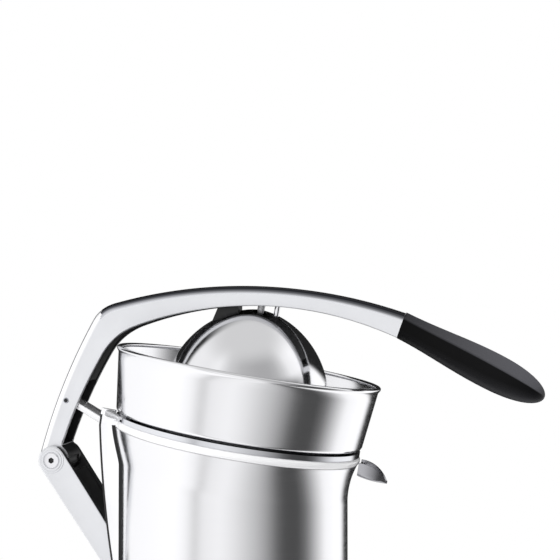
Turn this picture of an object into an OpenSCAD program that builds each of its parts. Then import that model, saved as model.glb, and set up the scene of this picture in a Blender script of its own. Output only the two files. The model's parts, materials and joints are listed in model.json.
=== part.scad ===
// Citrus press juicer with a lever arm, a tilted bowl and a motor-driven cone.
// Units are millimetres. The origin is the middle of the base pad's underside,
// +X points to the spout, +Z points up, and the arm is modelled closed.

/* [Stance] */
// Angle that the bowl and the spindle lean forward
tilt_a = 9.5; // [6:0.5:12]
// Height of the middle of the bowl rim above the table
rim_z = 323; // [300:1:350]
// Forward offset of the middle of the bowl rim from the body's axis
rim_x = 10; // [8:0.5:12]

/* [Bowl] */
// Outer radius of the bowl ring at its rim
rim_r = 90; // [86:0.5:94]
// Height of the bowl ring along its own axis
ring_h = 43; // [38:0.5:48]
// How much smaller the ring's radius is at its lower edge
ring_taper = 5.4; // [3:0.2:8]
// Sheet thickness of the bowl ring
ring_wall = 1.2; // [0.8:0.1:1.6]
// Radius of the rolled bead along the rim
bead_r = 1.5; // [1:0.1:2]
// Wall thickness of the juice bowl and the strainer
liner_wall = 1.6; // [1.2:0.1:2]
// Depth of the juice bowl's edge below the rim
liner_drop = 15; // [11:0.5:18]
// Width of the shadow gap under the bowl ring
shadow_gap = 2.4; // [1.6:0.1:3]
// Number of slots through the strainer
strainer_slots = 36; // [20:1:48]
// Width of a strainer slot
slot_w = 1.6; // [1:0.1:2]

/* [Cone and dome] */
// Outer radius of the juicing cone at its foot
cone_r = 37; // [34:0.5:40]
// Height of the juicing cone
cone_h = 42; // [38:0.5:46]
// Number of ribs on the juicing cone
cone_ribs = 10; // [6:1:12]
// How far a rib stands out of the cone
rib_h = 2.6; // [1.5:0.1:3.5]
// Thickness of a rib
rib_w = 2.2; // [1.5:0.1:3]
// Outer radius of the pressing dome at its rim
dome_r = 55; // [52:0.5:58]
// Height of the pressing dome
dome_h = 55; // [50:0.5:56]
// Height of the dome's top above the bowl rim
dome_top = 38.5; // [38:0.1:39]
// Sheet thickness of the dome
dome_wall = 1.2; // [0.8:0.1:1.6]

/* [Deck and collar] */
// Thickness of the polished deck under the bowl
deck_h = 3.2; // [2.6:0.1:4]
// Height of the rounded collar band
collar_h = 5.4; // [4:0.2:7]
// Outer radius of the collar band
collar_r = 84.8; // [84:0.1:86]
// Radius of the deck's polished edge
deck_r = 83.9; // [83:0.1:84.8]

/* [Body] */
// Radius of the body at its waist
waist_r = 76.7; // [75:0.1:78]
// Height of the waist above the table
waist_z = 185; // [160:1:200]
// Radius of the body at its foot
foot_r = 101; // [96:0.5:106]
// Sheet thickness of the body shell
shell_wall = 1.4; // [1:0.1:1.8]
// Length of the flare below the collar
bell_h = 25; // [20:1:30]
// Thickness of the rubber base pad
pad_h = 3; // [2:0.5:4]
// Thickness of the base plate
plate_h = 4; // [3:0.5:5]

/* [Spine] */
// Thickness of each cast cheek of the spine
cheek = 4; // [3:0.2:5]
// How far the spine's rear edge bows outwards
spine_bow = 3.5; // [2:0.25:5]

/* [Arm] */
// Width of the arm
arm_w = 27; // [24:0.5:29]
// Wall thickness of the arm's channel
arm_wall = 3.2; // [2.4:0.1:3.6]
// Height of the arm's crown above the bowl rim
arm_rise = 54; // [53:0.25:56]
// Thickness of the arm at its crown
arm_t = 13.5; // [12.5:0.25:14.5]
// Thickness of the black liner in the arm's channel
liner_t = 2.4; // [1.6:0.1:3]
// Distance of the grip joint in front of the rim's middle
grip_x = 102; // [98:0.5:106]
// Length of the grip
grip_l = 105; // [95:1:115]
// Thickness of the grip at its belly
grip_t = 25; // [22:0.5:27]
// Width of the grip at its belly
grip_w = 34; // [30:0.5:38]

/* [Linkage] */
// How far the main hinge lies behind the bowl's rim
hinge_back = 44.2; // [43:0.1:46]
// How far the main hinge lies below the bowl's rim
hinge_drop = 65.2; // [64:0.1:67]
// Length of the strut between its pivots
strut_l = 105; // [103:0.5:107]
// Slope of the strut below the horizontal with the arm closed
strut_a = 56; // [54:0.5:58]
// Half width of the strut's cheeks
strut_half = 8.4; // [7.6:0.1:9]
// Thickness of a strut cheek
strut_wall = 4.8; // [3.6:0.2:5.2]
// Radius of the strut's round head at the main hinge
head_r = 9.6; // [9:0.1:10.2]
// Radius of the main hinge pin and of the strut's foot pin
pin_r = 4; // [3.4:0.1:4.6]
// Radius of the two link pins
link_pin_r = 2; // [1.6:0.1:2.4]
// Thickness of the link bar
link_t = 4.2; // [3.4:0.1:5]
// Length that the link's lower pin slides in its slot
slot_l = 10; // [9.6:0.1:11]
// How far the arm turns on the strut when it is lifted
arm_turn = 73; // [66:1:74]
// How far the strut swings forward when the arm is lifted
strut_swing = 20; // [16:1:21]

/* [Drive] */
// Module of the motor's gear pair
mod_fast = 1; // [0.9:0.05:1.1]
// Module of the spindle's gear pair
mod_slow = 1.25; // [1.15:0.05:1.35]
// Teeth on each small gear
pinion_teeth = 12; // [12:1:14]
// Teeth on each large gear
wheel_teeth = 48; // [46:1:50]
// Face width of the gears
gear_h = 7; // [6:0.5:8]
// Free play between gear teeth
backlash = 0.36; // [0.3:0.02:0.5]
// Radius of the motor can
motor_r = 26; // [23:0.5:27]
// Length of the motor can
motor_l = 66; // [56:1:76]
// Radius of the drive spindle
spindle_r = 4; // [3.5:0.1:4.5]
// Travel of the cone when fruit is pressed on it
press_travel = 1.5; // [1:0.1:2]

/* [Spout] */
// Length of the spout outside the body
spout_l = 21; // [17:0.5:24]
// Width of the spout
spout_w = 22; // [18:0.5:26]
// Sheet thickness of the spout
spout_wall = 1.4; // [1:0.1:1.8]

/* [Clearances] */
// Gap between parts that move past each other
gap = 0.5; // [0.4:0.05:0.6]
// Radial clearance of a shaft in its bore
fit = 0.05; // [0.04:0.01:0.08]
// Gap between fixed parts that nest
nest = 0.2; // [0.1:0.05:0.3]

/* [Hidden] */
$fn = 96;
eps = 0.01;
big = 400;

// ---- Frames and small helpers ----
// Places children in the bowl's own frame, whose origin is the middle of the rim
module tilted() translate([rim_x, 0, rim_z]) rotate([0, tilt_a, 0]) children();
// Side view point [x, z] of a point given in the bowl's frame
function on_tilt(x, z) = [rim_x + x * cos(tilt_a) + z * sin(tilt_a),
    rim_z - x * sin(tilt_a) + z * cos(tilt_a)];
function dir(a) = [cos(a), sin(a)];
function reverse(p) = [for (i = [len(p) - 1:-1:0]) p[i]];
// Extrudes a side view outline across the width w, centred on y
module slab(w, y = 0) translate([0, y + w / 2, 0]) rotate([90, 0, 0]) linear_extrude(w) children();
// A round bar along Y through the side view point p
module bar(p, r, w, y = 0) translate([p.x, y + w / 2, p.y]) rotate([90, 0, 0]) cylinder(r = r, h = w);
module tube(r_out, r_in, h) difference() {
    cylinder(r = r_out, h = h);
    translate([0, 0, -eps]) cylinder(r = r_in, h = h + 2 * eps);
}
module ring_of(n, r, a0 = 0) for (i = [0:n - 1])
    rotate([0, 0, a0 + i * 360 / n]) translate([r, 0, 0]) children();
// Points of an arc from p to q; a positive rise bows it to the left of the way
function arc(p, q, rise, n = 16) = let (d = q - p, l = norm(d), s = sign(rise), h = abs(rise),
    r = (l * l / 4 + h * h) / (2 * h), nrm = [-d.y, d.x] / l, c = (p + q) / 2 - nrm * s * (r - h),
    mid = atan2(s * nrm.y, s * nrm.x), half = asin(l / 2 / r))
    [for (i = [0:n]) c + r * dir(mid + s * half * (1 - 2 * i / n))];
// Rounds the corner c between two lists of points
function blend(a, c, b, r, n = 5) = let (p = [for (v = a) if (norm(v - c) > r) v],
    q = [for (v = b) if (norm(v - c) > r) v], s = p[len(p) - 1], e = q[0])
    concat(p, [for (i = [1:n - 1]) let (t = i / n) (1 - t) * (1 - t) * s + 2 * t * (1 - t) * c + t * t * e], q);
// Shifts a line of points sideways, to the left of the way for a positive t
function shifted(p, t) = [for (i = [0:len(p) - 1]) let (a = p[max(i - 1, 0)],
    b = p[min(i + 1, len(p) - 1)], d = (b - a) / norm(b - a)) p[i] + t * [-d.y, d.x]];
// Quarter of a rounded profile, r wide at its foot and h high, from foot to top
function crown(r, h, z0, e = 1.8, n = 22) = [for (i = [0:n]) let (a = 90 * i / n)
    [r * pow(cos(a), 2 / e), z0 + h * pow(sin(a), 2 / e)]];
// Skin over a list of rings of points
module loft(rings) {
    n = len(rings[0]);
    m = len(rings);
    side = [for (j = [0:m - 2]) for (i = [0:n - 1]) let (a = j * n + i, b = j * n + (i + 1) % n)
        each [[a, b, b + n], [a, b + n, a + n]]];
    ends = [[for (i = [n - 1:-1:0]) i], [for (i = [0:n - 1]) (m - 1) * n + i]];
    polyhedron(points = [for (r = rings) each r], faces = concat(side, ends));
}
// Round wire of radius r along a path that turns about the axis
module wire(path, r, axis, sides = 6) {
    last = len(path) - 1;
    loft([for (i = [0:last]) let (t = path[min(i + 1, last)] - path[max(i - 1, 0)], u = t / norm(t),
        c = cross(u, axis), v = c / norm(c), w = cross(u, v))
        [for (k = [0:sides - 1]) path[i] + r * (cos(360 * k / sides) * v + sin(360 * k / sides) * w)]]);
}
// Involute spur gear with an even backlash
function inv(a) = tan(a) * 180 / PI - a;
module gear(m, z, h) {
    pa = 20;
    rp = m * z / 2;
    rb = rp * cos(pa);
    ra = rp + 0.95 * m;
    rf = rp - 1.25 * m;
    half = 90 / z - backlash / 2 / rp * 180 / PI / 2;
    steps = 4;
    flank = [for (i = [0:steps]) let (r = max(rb, rf) + (ra - max(rb, rf)) * i / steps)
        [r, half + inv(pa) - inv(acos(min(1, rb / r)))]];
    linear_extrude(h) polygon([for (k = [0:z - 1]) let (c = k * 360 / z)
        each concat([rf * dir(c - flank[0][1])], [for (f = flank) f[0] * dir(c - f[1])],
            [for (f = reverse(flank)) f[0] * dir(c + f[1])], [rf * dir(c + flank[0][1])])]);
}

// ---- Levels in the bowl's frame, measured down from the rim ----
ring_low_r = rim_r - ring_taper;
deck_top = -(ring_h + shadow_gap);
deck_low = deck_top - deck_h;
collar_low = deck_low - collar_h;
function ring_at(z) = rim_r + z * ring_taper / ring_h;
bowl_floor = -ring_h + ring_wall;
hub_r = 11;
hub_top = -22;
bore_r = spindle_r + fit;
bush_r = spindle_r + 3;
deck_hub_r = bush_r + 2;
dome_foot = dome_top - dome_h;

// ---- Linkage ----
hinge = [rim_x - rim_r - hinge_back, rim_z - hinge_drop];
foot = hinge + strut_l * [cos(strut_a), -sin(strut_a)];
link_top = hinge + [8.4, 40.7];
slot_low = on_tilt(4 - collar_r, collar_low - 5.6);
// Turns a side view point about another one
function turn(p, c, a) = c + [cos(a) * (p.x - c.x) - sin(a) * (p.y - c.y),
    sin(a) * (p.x - c.x) + cos(a) * (p.y - c.y)];
// The link's lower pin is furthest up its slot part-way through the lift
slot_at = 0.62;
part_hinge = turn(hinge, foot, -slot_at * strut_swing);
link_shift = part_hinge - link_top
    + turn(link_top - hinge, [0, 0], slot_at * (arm_turn - strut_swing));
slot_dir = link_shift / norm(link_shift);
strut_in = arm_w / 2 + gap;
strut_out = strut_in + strut_wall;
spine_in = strut_out + 1;
spine_out = spine_in + cheek;
spine_well = foot.x + strut_half + 1.6;

// ---- Arm outline, from the grip joint over the elbow to the hinge ----
joint_a = 20;
grip_a = 27;
joint_t = 17;
joint = [rim_x + grip_x + 1.9, rim_z + 27.3];
joint_up = [sin(joint_a), cos(joint_a)];
elbow_out = [rim_x - rim_r - 13, rim_z + 39.4];
elbow_in = [rim_x - rim_r - 2.5, rim_z + 20.5];
hub_out = hinge + 11.8 * dir(168);
hub_in = hinge + 11 * dir(62);
arm_hub_r = 10.5;
hub_core_r = pin_r + 4.6;
joint_top = joint + joint_up * joint_t / 2;
joint_low = joint - joint_up * joint_t / 2;
crown_out = (joint_top.y + elbow_out.y) / 2 - rim_z - arm_rise;
crown_in = (joint_low.y + elbow_in.y) / 2 - rim_z - arm_rise + arm_t;
leg_bow = -3.8;
arm_outer = blend(arc(joint_top, elbow_out, crown_out), elbow_out, arc(elbow_out, hub_out, leg_bow), 7);
arm_inner = blend(arc(joint_low, elbow_in, crown_in), elbow_in, arc(elbow_in, hub_in, leg_bow * 0.7), 9);
channel_w = arm_w - 2 * arm_wall;
joint_block = 14;

// ---- Base and body ----
base_z = pad_h + plate_h;
function body_r(z) = z < waist_z ? waist_r + (foot_r - waist_r) * pow((waist_z - z) / (waist_z - pad_h), 2.3)
    : waist_r;
function bell_r(z) = let (t = max(0, (z - collar_low + bell_h) / bell_h))
    waist_r + (deck_r - 0.4 - waist_r) * pow(t, 1.3);
module body_solid(inset) {
    steps = 26;
    z0 = pad_h;
    z1 = rim_z;
    rotate_extrude() polygon(concat([[0, z0]],
        [for (i = [0:steps]) let (z = z0 + (waist_z - z0) * i / steps) [body_r(z) - inset, z]],
        [[waist_r - inset, z1], [0, z1]]));
    tilted() rotate_extrude() polygon(concat([[0, collar_low - bell_h]],
        [for (i = [0:12]) let (z = collar_low - bell_h + bell_h * i / 12) [bell_r(z) - inset, z]],
        [[bell_r(collar_low) - inset, 0], [0, 0]]));
}
// Everything above a level of the bowl's frame
module above(z) tilted() translate([0, 0, z]) cylinder(r = big, h = big, $fn = 8);
module rear_slot(side = 0) translate([-big, -spine_out - side, slot_z]) cube([big + spine_well + cheek + side,
    2 * (spine_out + side), big]);
slot_z = foot.y - strut_half - 10;
screw_r = 2;
base_screw_ring = foot_r - 16;

module base_pad() color("#232325") difference() {
    cylinder(r = foot_r - 3, h = pad_h);
    ring_of(4, base_screw_ring, 45) translate([0, 0, pad_h / 2]) cylinder(r = screw_r + 2.4, h = pad_h);
}
module base_plate() color("#3a3b3d") {
    difference() {
        translate([0, 0, pad_h]) cylinder(r = foot_r - shell_wall - nest - 1, h = plate_h);
        ring_of(4, base_screw_ring, 45) cylinder(r = screw_r + fit, h = base_z + 1);
        translate([0, 0, -eps]) ring_of(4, base_screw_ring, 45) cylinder(r = screw_r + 2.4, h = pad_h + 1.6);
    }
    ring_of(4, base_screw_ring, 45) translate([0, 0, base_z]) tube(screw_r + 2.6, screw_r + fit, 9);
}
module base_screws() color("silver") ring_of(4, base_screw_ring, 45) translate([0, 0, pad_h]) {
    cylinder(r = screw_r + 2, h = 1.5);
    cylinder(r = screw_r, h = plate_h + 9);
}
gland_z = 24;
gland_r = 5.5;
module cord_gland() color("#1c1c1e") translate([-body_r(gland_z), 0, gland_z]) rotate([0, -90, 0]) {
    difference() {
        union() {
            translate([0, 0, -6]) cylinder(r = gland_r, h = 12);
            translate([0, 0, 2.6]) cylinder(r = gland_r + 2.5, h = 2.5);
            translate([0, 0, -8]) cylinder(r = gland_r + 2.5, h = 2.5);
        }
        translate([0, 0, -9]) cylinder(r = 3.4, h = 18);
    }
}
module body_shell() color("#c9cacc") difference() {
    body_solid(0);
    difference() {
        body_solid(shell_wall);
        translate([0, 0, pad_h - 1]) cylinder(r = big, h = 1);
    }
    translate([0, 0, pad_h - eps]) cylinder(r = foot_r - shell_wall - 1, h = 1);
    above(collar_low);
    rear_slot(nest);
    translate([-body_r(gland_z), 0, gland_z]) rotate([0, 90, 0])
        translate([0, 0, -9]) cylinder(r = gland_r + nest, h = 18);
    chute_hole();
    clip_notch();
}

// ---- Deck, collar and spine ----
drain_x = 65;
drain_r = 6;
chute_wall = 1.6;
ear_w = 2;
ear_out = spout_w / 2 - spout_wall - 2 * gap;
chute_w = 2 * (ear_out - ear_w + chute_wall - 0.3);
pivot_z = collar_low + 1.4;
spout_root = collar_r + 0.4;
spout_low = pivot_z - 7;
// Side view of the way that the juice takes from the bowl to the spout
function chute_side(t) = let (back = drain_x - drain_r - 3 + t, front = drain_x + drain_r + 4 - t,
    mouth = spout_root - 0.4 + t, top = deck_low - 1 + t)
    [[back, top], [back, spout_low + 4 + t], [mouth, spout_low - 1.6 + t], [mouth, pivot_z - 1.6 - t],
    [front, pivot_z - 1.6 - t], [front, top]];
module chute_hole() tilted() slab(chute_w + 2 * nest) polygon([[drain_x + 2, spout_low - 1.6 - nest],
    [big, spout_low - 1.6 - nest], [big, collar_low + nest], [drain_x + 2, collar_low + nest]]);
post_r = 4;
bowl_foot_r = 72;
module at_posts() for (p = post_at) translate([p.x, p.y, 0]) children();
slow_d = mod_slow * (pinion_teeth + wheel_teeth) / 2;
fast_d = mod_fast * (pinion_teeth + wheel_teeth) / 2;
idler_a = 99;
motor_a = -5;
idler = slow_d * dir(idler_a);
motor_at = idler + fast_d * dir(motor_a);
slow_r = mod_slow * wheel_teeth / 2;
fast_r = mod_fast * wheel_teeth / 2;
post_at = [motor_at + (motor_r + post_r + 1.5) * dir(-40), (slow_r + motor_r + 0.5) * dir(-23),
    (slow_r + 2 * post_r) * dir(223), idler + (fast_r + 2.8 * post_r) * dir(205)];
slow_z = deck_low - 7 - gear_h;
fast_z = slow_z - gear_h - 2;
plate_top = fast_z - 2;
gear_plate_h = 4;
plate_low = plate_top - gear_plate_h;
axle_r = 2;
module collar_ring() color("#f0f0f1") difference() {
    tilted() rotate_extrude() polygon(concat([[deck_r - 6, deck_low]],
        arc([deck_r - 1, deck_low], [deck_r - 1, collar_low], collar_r - deck_r + 1, 10),
        [[deck_r - 6, collar_low]]));
    rear_slot(nest);
}
module top_deck() color("#b9babd") tilted() difference() {
    union() {
        translate([0, 0, deck_low]) cylinder(r = deck_r, h = deck_h);
        translate([0, 0, deck_low - 5]) cylinder(r = deck_hub_r, h = hub_top - 3 - deck_low + 5);
        translate([idler.x, idler.y, deck_low - 5]) cylinder(r = 6, h = 5 + eps);
    }
    translate([0, 0, -big / 2]) cylinder(r = bush_r + nest, h = big);
    translate([drain_x, 0, deck_low - 1]) cylinder(r = drain_r + 2.6, h = deck_h + 2);
    translate([idler.x, idler.y, deck_low - 6]) cylinder(r = axle_r, h = 7);
    at_posts() translate([0, 0, deck_low - 1]) cylinder(r = screw_r + fit, h = deck_h + 2);
    at_posts() translate([0, 0, deck_top - 1.4]) cylinder(r = screw_r + 1.9, h = 2);
    translate([-big - bowl_foot_r - 4, -spine_in, deck_low - 1]) cube([big, 2 * spine_in, deck_h + 2]);
}
module deck_screws() color("silver") tilted() at_posts() {
    translate([0, 0, deck_top - 1.4]) cylinder(r = screw_r + 1.7, h = 1.3);
    translate([0, 0, deck_low - 7]) cylinder(r = screw_r, h = deck_h + 6.6);
}
claw_a = 34;
knuckle_top = deck_top + 1.2;
spine_top = on_tilt(-rim_r - 4, knuckle_top);
spine_foot = [3 - waist_r, slot_z];
module spine_side() polygon(concat(arc(spine_top, spine_foot, -spine_bow, 14),
    [[spine_well + cheek, slot_z], [spine_well + cheek, rim_z], [spine_top.x, rim_z]]));
spine_h = hinge.y - slot_z;
spine_screw_up = [0.21 * spine_h, 0.87 * spine_h];
module spine_screw_places() for (up = spine_screw_up) for (s = [-1, 1])
    translate([spine_well, s * 0.6 * spine_in, slot_z + up]) rotate([0, 90, 0]) children();
module spine_bracket() color("#ededee") difference() {
    union() {
        slab(2 * spine_out) spine_side();
        tilted() rotate([0, 0, 180 - claw_a]) rotate_extrude(angle = 2 * claw_a) polygon([
            [deck_r + nest, deck_low], [collar_r + 1.6, deck_low - 1.4], [collar_r + 2.2, knuckle_top],
            [deck_r + nest, knuckle_top]]);
    }
    translate([-big, -spine_in, slot_z + cheek]) cube([big + spine_well, 2 * spine_in, big]);
    above(knuckle_top);
    tilted() translate([0, 0, deck_low - nest]) cylinder(r = deck_r + nest, h = big);
    bar(foot, pin_r, 3 * spine_out);
    slab(2 * spine_in + cheek) polygon(concat(
        [for (a = [21.2:30:201.2]) slot_low + slot_l * slot_dir + slot_r * dir(a)],
        [for (a = [201.2:30:381.2]) slot_low - 0.5 * slot_dir + slot_r * dir(a)]));
    spine_screw_places() translate([0, 0, -1]) cylinder(r = screw_r + fit, h = 12);
}
slot_r = link_pin_r + 0.9;
module spine_screws() color("silver") spine_screw_places() {
    translate([0, 0, -1.4]) cylinder(r = screw_r + 1.6, h = 1.4);
    cylinder(r = screw_r, h = cheek + rear_post_t);
}
rear_post_t = 4;
rear_post_w = 2 * spine_in - 3.6;
module rear_post() color("#8f9194") difference() {
    union() {
        translate([spine_well + cheek, -rear_post_w / 2, base_z])
            cube([rear_post_t, rear_post_w, slot_z + spine_screw_up[1] + 8 - base_z]);
        translate([spine_well + cheek, -rear_post_w / 2, base_z]) cube([6 * rear_post_t, rear_post_w, 3]);
    }
    spine_screw_places() translate([0, 0, -1]) cylinder(r = screw_r + fit, h = 12);
}
clip_r = pin_r + 1;
clip_t = 1.2;
pin_end = 2;
module foot_pin() color("silver") bar(foot, pin_r - fit, 2 * (spine_out + pin_end));
module foot_pin_clips() color("silver") for (s = [-1, 1]) difference() {
    bar(foot, clip_r, clip_t, s * (spine_out + nest + clip_t / 2));
    bar(foot, pin_r - fit, 5, s * (spine_out + nest + clip_t / 2));
}
// Room in the body's edge for the pin's ends and their clips
module clip_notch() slab(2 * (spine_out + pin_end + gap)) polygon([[-big, foot.y - clip_r - gap],
    [foot.x + clip_r + gap, foot.y - clip_r - gap], [foot.x + clip_r + gap, foot.y + clip_r + gap],
    [-big, foot.y + clip_r + gap]]);
spring_wire = 0.9;
spring_coil = pin_r + 1.6;
module lift_spring() color("#a9abae") {
    turns = 6;
    per = 12;
    span = 20;
    n = turns * per;
    a0 = 40;
    coil = [for (i = [0:n]) [foot.x + spring_coil * cos(a0 - i * 360 / per), span * (i / n - 0.5),
        foot.y + spring_coil * sin(a0 - i * 360 / per)]];
    wire(concat([[spine_well - 1.4, -span / 2, foot.y + 16]], coil,
        [[foot.x - 5.8, span / 2, foot.y + 16.3]]), spring_wire, [0, 1, 0]);
}

// ---- Drive train under the deck ----
plate_x = 10;
plate_y = 6;
plate_r = 55;
module gear_plate() color("#9a9ca0") tilted() difference() {
    translate([plate_x, plate_y, plate_low]) cylinder(r = plate_r, h = gear_plate_h);
    translate([0, 0, plate_low - 1]) {
        cylinder(r = spindle_r + 1, h = big);
        at_posts() cylinder(r = screw_r + fit, h = big);
        translate([idler.x, idler.y, 0]) cylinder(r = axle_r, h = big);
        translate([motor_at.x, motor_at.y, 0]) {
            cylinder(r = motor_neck_r + nest, h = big);
            ring_of(3, motor_screw_ring, 30) cylinder(r = 1.5 + fit, h = big);
        }
    }
}
motor_neck_r = 8;
motor_screw_ring = 15;
shaft_r = 2.5;
module gear_posts() color("silver") tilted() at_posts() difference() {
    translate([0, 0, plate_top]) cylinder(r = post_r, h = deck_low - plate_top);
    translate([0, 0, deck_low - 8]) cylinder(r = screw_r, h = 9);
    translate([0, 0, plate_top - 1]) cylinder(r = screw_r, h = 8);
}
module plate_screws() color("silver") tilted() at_posts() translate([0, 0, plate_low]) {
    translate([0, 0, -1.6]) cylinder(r = screw_r + 1.6, h = 1.6);
    cylinder(r = screw_r, h = gear_plate_h + 6);
}
module motor() color("#77797d") tilted() translate([motor_at.x, motor_at.y, plate_low]) difference() {
    union() {
        translate([0, 0, -motor_l]) cylinder(r = motor_r, h = motor_l);
        cylinder(r = motor_neck_r, h = 3);
        translate([0, 0, -motor_l - 5]) cylinder(r = 9, h = 6);
    }
    translate([0, 0, -motor_l - 2]) cylinder(r = shaft_r + fit, h = big);
    ring_of(3, motor_screw_ring, 30) translate([0, 0, -6]) cylinder(r = 1.5, h = 7);
}
module motor_screws() color("silver") tilted() translate([motor_at.x, motor_at.y, plate_top])
    ring_of(3, motor_screw_ring, 30) {
        translate([0, 0, -gear_plate_h - 5]) cylinder(r = 1.5, h = gear_plate_h + 5);
        cylinder(r = 2.6, h = 1.4);
    }
// Turns of the meshing gears, so that a tooth faces a gap on each line of centres
pinion_ratio = wheel_teeth / pinion_teeth;
idler_turn = idler_a + 180 + idler_a * pinion_ratio + 180 / pinion_teeth;
module motor_pinion() color("#d8c07a") tilted() translate([motor_at.x, motor_at.y, 0]) {
    translate([0, 0, fast_z]) rotate([0, 0, motor_a + 180 + 180 / pinion_teeth
        + (motor_a - idler_turn) * pinion_ratio]) gear(mod_fast, pinion_teeth, gear_h);
    translate([0, 0, plate_low - motor_l]) cylinder(r = shaft_r, h = fast_z + gear_h + 1 - plate_low + motor_l);
}
module idler_axle() color("silver") tilted() translate([idler.x, idler.y, plate_low - 1])
    cylinder(r = axle_r, h = deck_low - plate_low + 1);
module idler_gear() color("#e9e6da") tilted() translate([idler.x, idler.y, 0]) difference() {
    union() {
        translate([0, 0, fast_z]) rotate([0, 0, idler_turn]) gear(mod_fast, wheel_teeth, gear_h);
        translate([0, 0, fast_z + gear_h]) cylinder(r = 6, h = slow_z - fast_z - gear_h);
        translate([0, 0, slow_z]) rotate([0, 0, idler_turn]) gear(mod_slow, pinion_teeth, gear_h);
    }
    translate([0, 0, -big / 2]) cylinder(r = axle_r + fit, h = big);
}
spindle_top = hub_top + 14;
spindle_low = plate_low - 5;
module spindle_bush() color("#c79a55") tilted() translate([0, 0, deck_low - 5])
    tube(bush_r, bore_r, hub_top - 3 - deck_low + 5);
module spindle() color("silver") tilted() {
    translate([0, 0, spindle_low]) cylinder(r = spindle_r, h = hub_top + 1 - spindle_low);
    translate([0, 0, hub_top + 1 - eps]) cylinder(r = spindle_r, h = spindle_top - hub_top - 1, $fn = 6);
}
module spindle_gear() color("#e9e6da") tilted() translate([0, 0, slow_z]) difference() {
    union() {
        gear(mod_slow, wheel_teeth, gear_h);
        translate([0, 0, -2]) cylinder(r = 9, h = gear_h + 2);
    }
    translate([0, 0, -3]) cylinder(r = spindle_r, h = big);
}
guide_r = 8;
guide_h = 24;
cup_h = 5;
stem_r = 2;
module press_guide() color("#2f3032") tilted() translate([0, 0, plate_low - guide_h]) difference() {
    union() {
        cylinder(r = guide_r + 2, h = guide_h);
        translate([0, 0, guide_h - 2]) cylinder(r = guide_r + 5, h = 2);
    }
    translate([0, 0, 2]) cylinder(r = guide_r + 0.1, h = guide_h);
    translate([0, 0, -1]) cylinder(r = stem_r + 0.3, h = 4);
}
module thrust_cup() color("#d9d4c4") tilted() translate([0, 0, spindle_low - cup_h]) {
    difference() {
        cylinder(r = guide_r, h = cup_h + 3);
        translate([0, 0, cup_h]) cylinder(r = spindle_r + 1, h = 4);
    }
    translate([0, 0, -stem_l]) cylinder(r = stem_r, h = stem_l + eps);
}
stem_l = guide_h - cup_h - 5 + 1;
module press_spring() color("#a9abae") tilted() {
    turns = 4;
    per = 12;
    z0 = plate_low - guide_h + 2.7;
    z1 = spindle_low - cup_h - 0.7;
    n = turns * per;
    wire([for (i = [0:n]) let (a = i * 360 / per) [5 * cos(a), 5 * sin(a), z0 + (z1 - z0) * i / n]],
        0.7, [0, 0, 1]);
}
module start_switch() color("#26272a") tilted() translate([0, 0, plate_low - guide_h]) {
    difference() {
        translate([-10, -5, -14]) cube([20, 10, 14]);
        translate([0, 0, -5]) cylinder(r = stem_r + 1, h = 6);
    }
    translate([0, 0, -5 - eps]) cylinder(r = 1.4, h = 5 - 1 - press_travel - 0.3);
}

// ---- Bowl, strainer and cone ----
module bowl_ring() color("#d2d3d5") tilted() rotate_extrude() polygon(concat(
    [[ring_low_r - ring_wall - 6, -ring_h], [ring_low_r - 1.6, -ring_h]],
    [for (a = [-60:30:0]) [ring_low_r - 1.6 + 1.6 * cos(a), 1.6 - ring_h + 1.6 * sin(a)]],
    [for (a = [-60:20:240]) [ring_at(-bead_r) - 0.4 + bead_r * cos(a), bead_r * sin(a) - bead_r]],
    [[ring_at(-5) - ring_wall, -5], [ring_low_r - ring_wall, ring_wall - ring_h],
    [ring_low_r - ring_wall - 6, ring_wall - ring_h]]));
liner_out = ring_at(-liner_drop) - ring_wall - nest;
liner_low = ring_low_r - ring_wall - nest - 2.5;
module juice_bowl() color("#3c3d40") tilted() difference() {
    union() {
        rotate_extrude() polygon([[hub_r, bowl_floor], [liner_low - 4, bowl_floor], [liner_low, bowl_floor + 4],
            [liner_out, -liner_drop], [liner_out - liner_wall, -liner_drop],
            [liner_low - liner_wall, bowl_floor + 4.6], [liner_low - 4.6, bowl_floor + liner_wall],
            [hub_r + liner_wall, bowl_floor + liner_wall], [hub_r + liner_wall, hub_top], [hub_r, hub_top]]);
        translate([0, 0, deck_top]) tube(bowl_foot_r + 2, bowl_foot_r, bowl_floor - deck_top);
        translate([drain_x, 0, deck_low - 4])
            tube(drain_r, drain_r - liner_wall, bowl_floor - deck_low + 4 + eps);
    }
    translate([drain_x, 0, bowl_floor - 1]) cylinder(r = drain_r - liner_wall, h = 4);
    translate([drain_x, 0, deck_low - 5]) cylinder(r = drain_r - liner_wall, h = 12);
}
module outlet_seal() color("#1d1d1f") tilted() translate([drain_x, 0, deck_low])
    tube(drain_r + 2.4, drain_r + fit, deck_h);
strainer_z = -28;
strainer_r = 62;
module strainer() color("#cfd0d2") tilted() difference() {
    rotate_extrude() polygon([[hub_r + liner_wall + nest, strainer_z], [strainer_r, strainer_z],
        [liner_out - liner_wall - 1.6, -liner_drop], [liner_out, -liner_drop + 0],
        [liner_out, 1.2 - liner_drop], [liner_out - liner_wall - 2.2, 1.2 - liner_drop],
        [strainer_r - 0.4, strainer_z + 1.2], [hub_r + liner_wall + 2, strainer_z + 1.2],
        [hub_r + liner_wall + 2, hub_top - 2], [hub_r + liner_wall + nest, hub_top - 2]]);
    for (i = [0:strainer_slots - 1]) rotate([0, 0, (i + 0.5) * 360 / strainer_slots])
        translate([24, -slot_w / 2, strainer_z - 1]) cube([strainer_r - 27, slot_w, 4]);
}
cone_foot = strainer_z + 1.2 + press_travel + 1.3;
module cone_core(d) rotate_extrude() polygon(concat([[0, cone_foot]], crown(cone_r - rib_h + d, cone_h - rib_h + d,
    cone_foot, 1.55, 16)));
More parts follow.
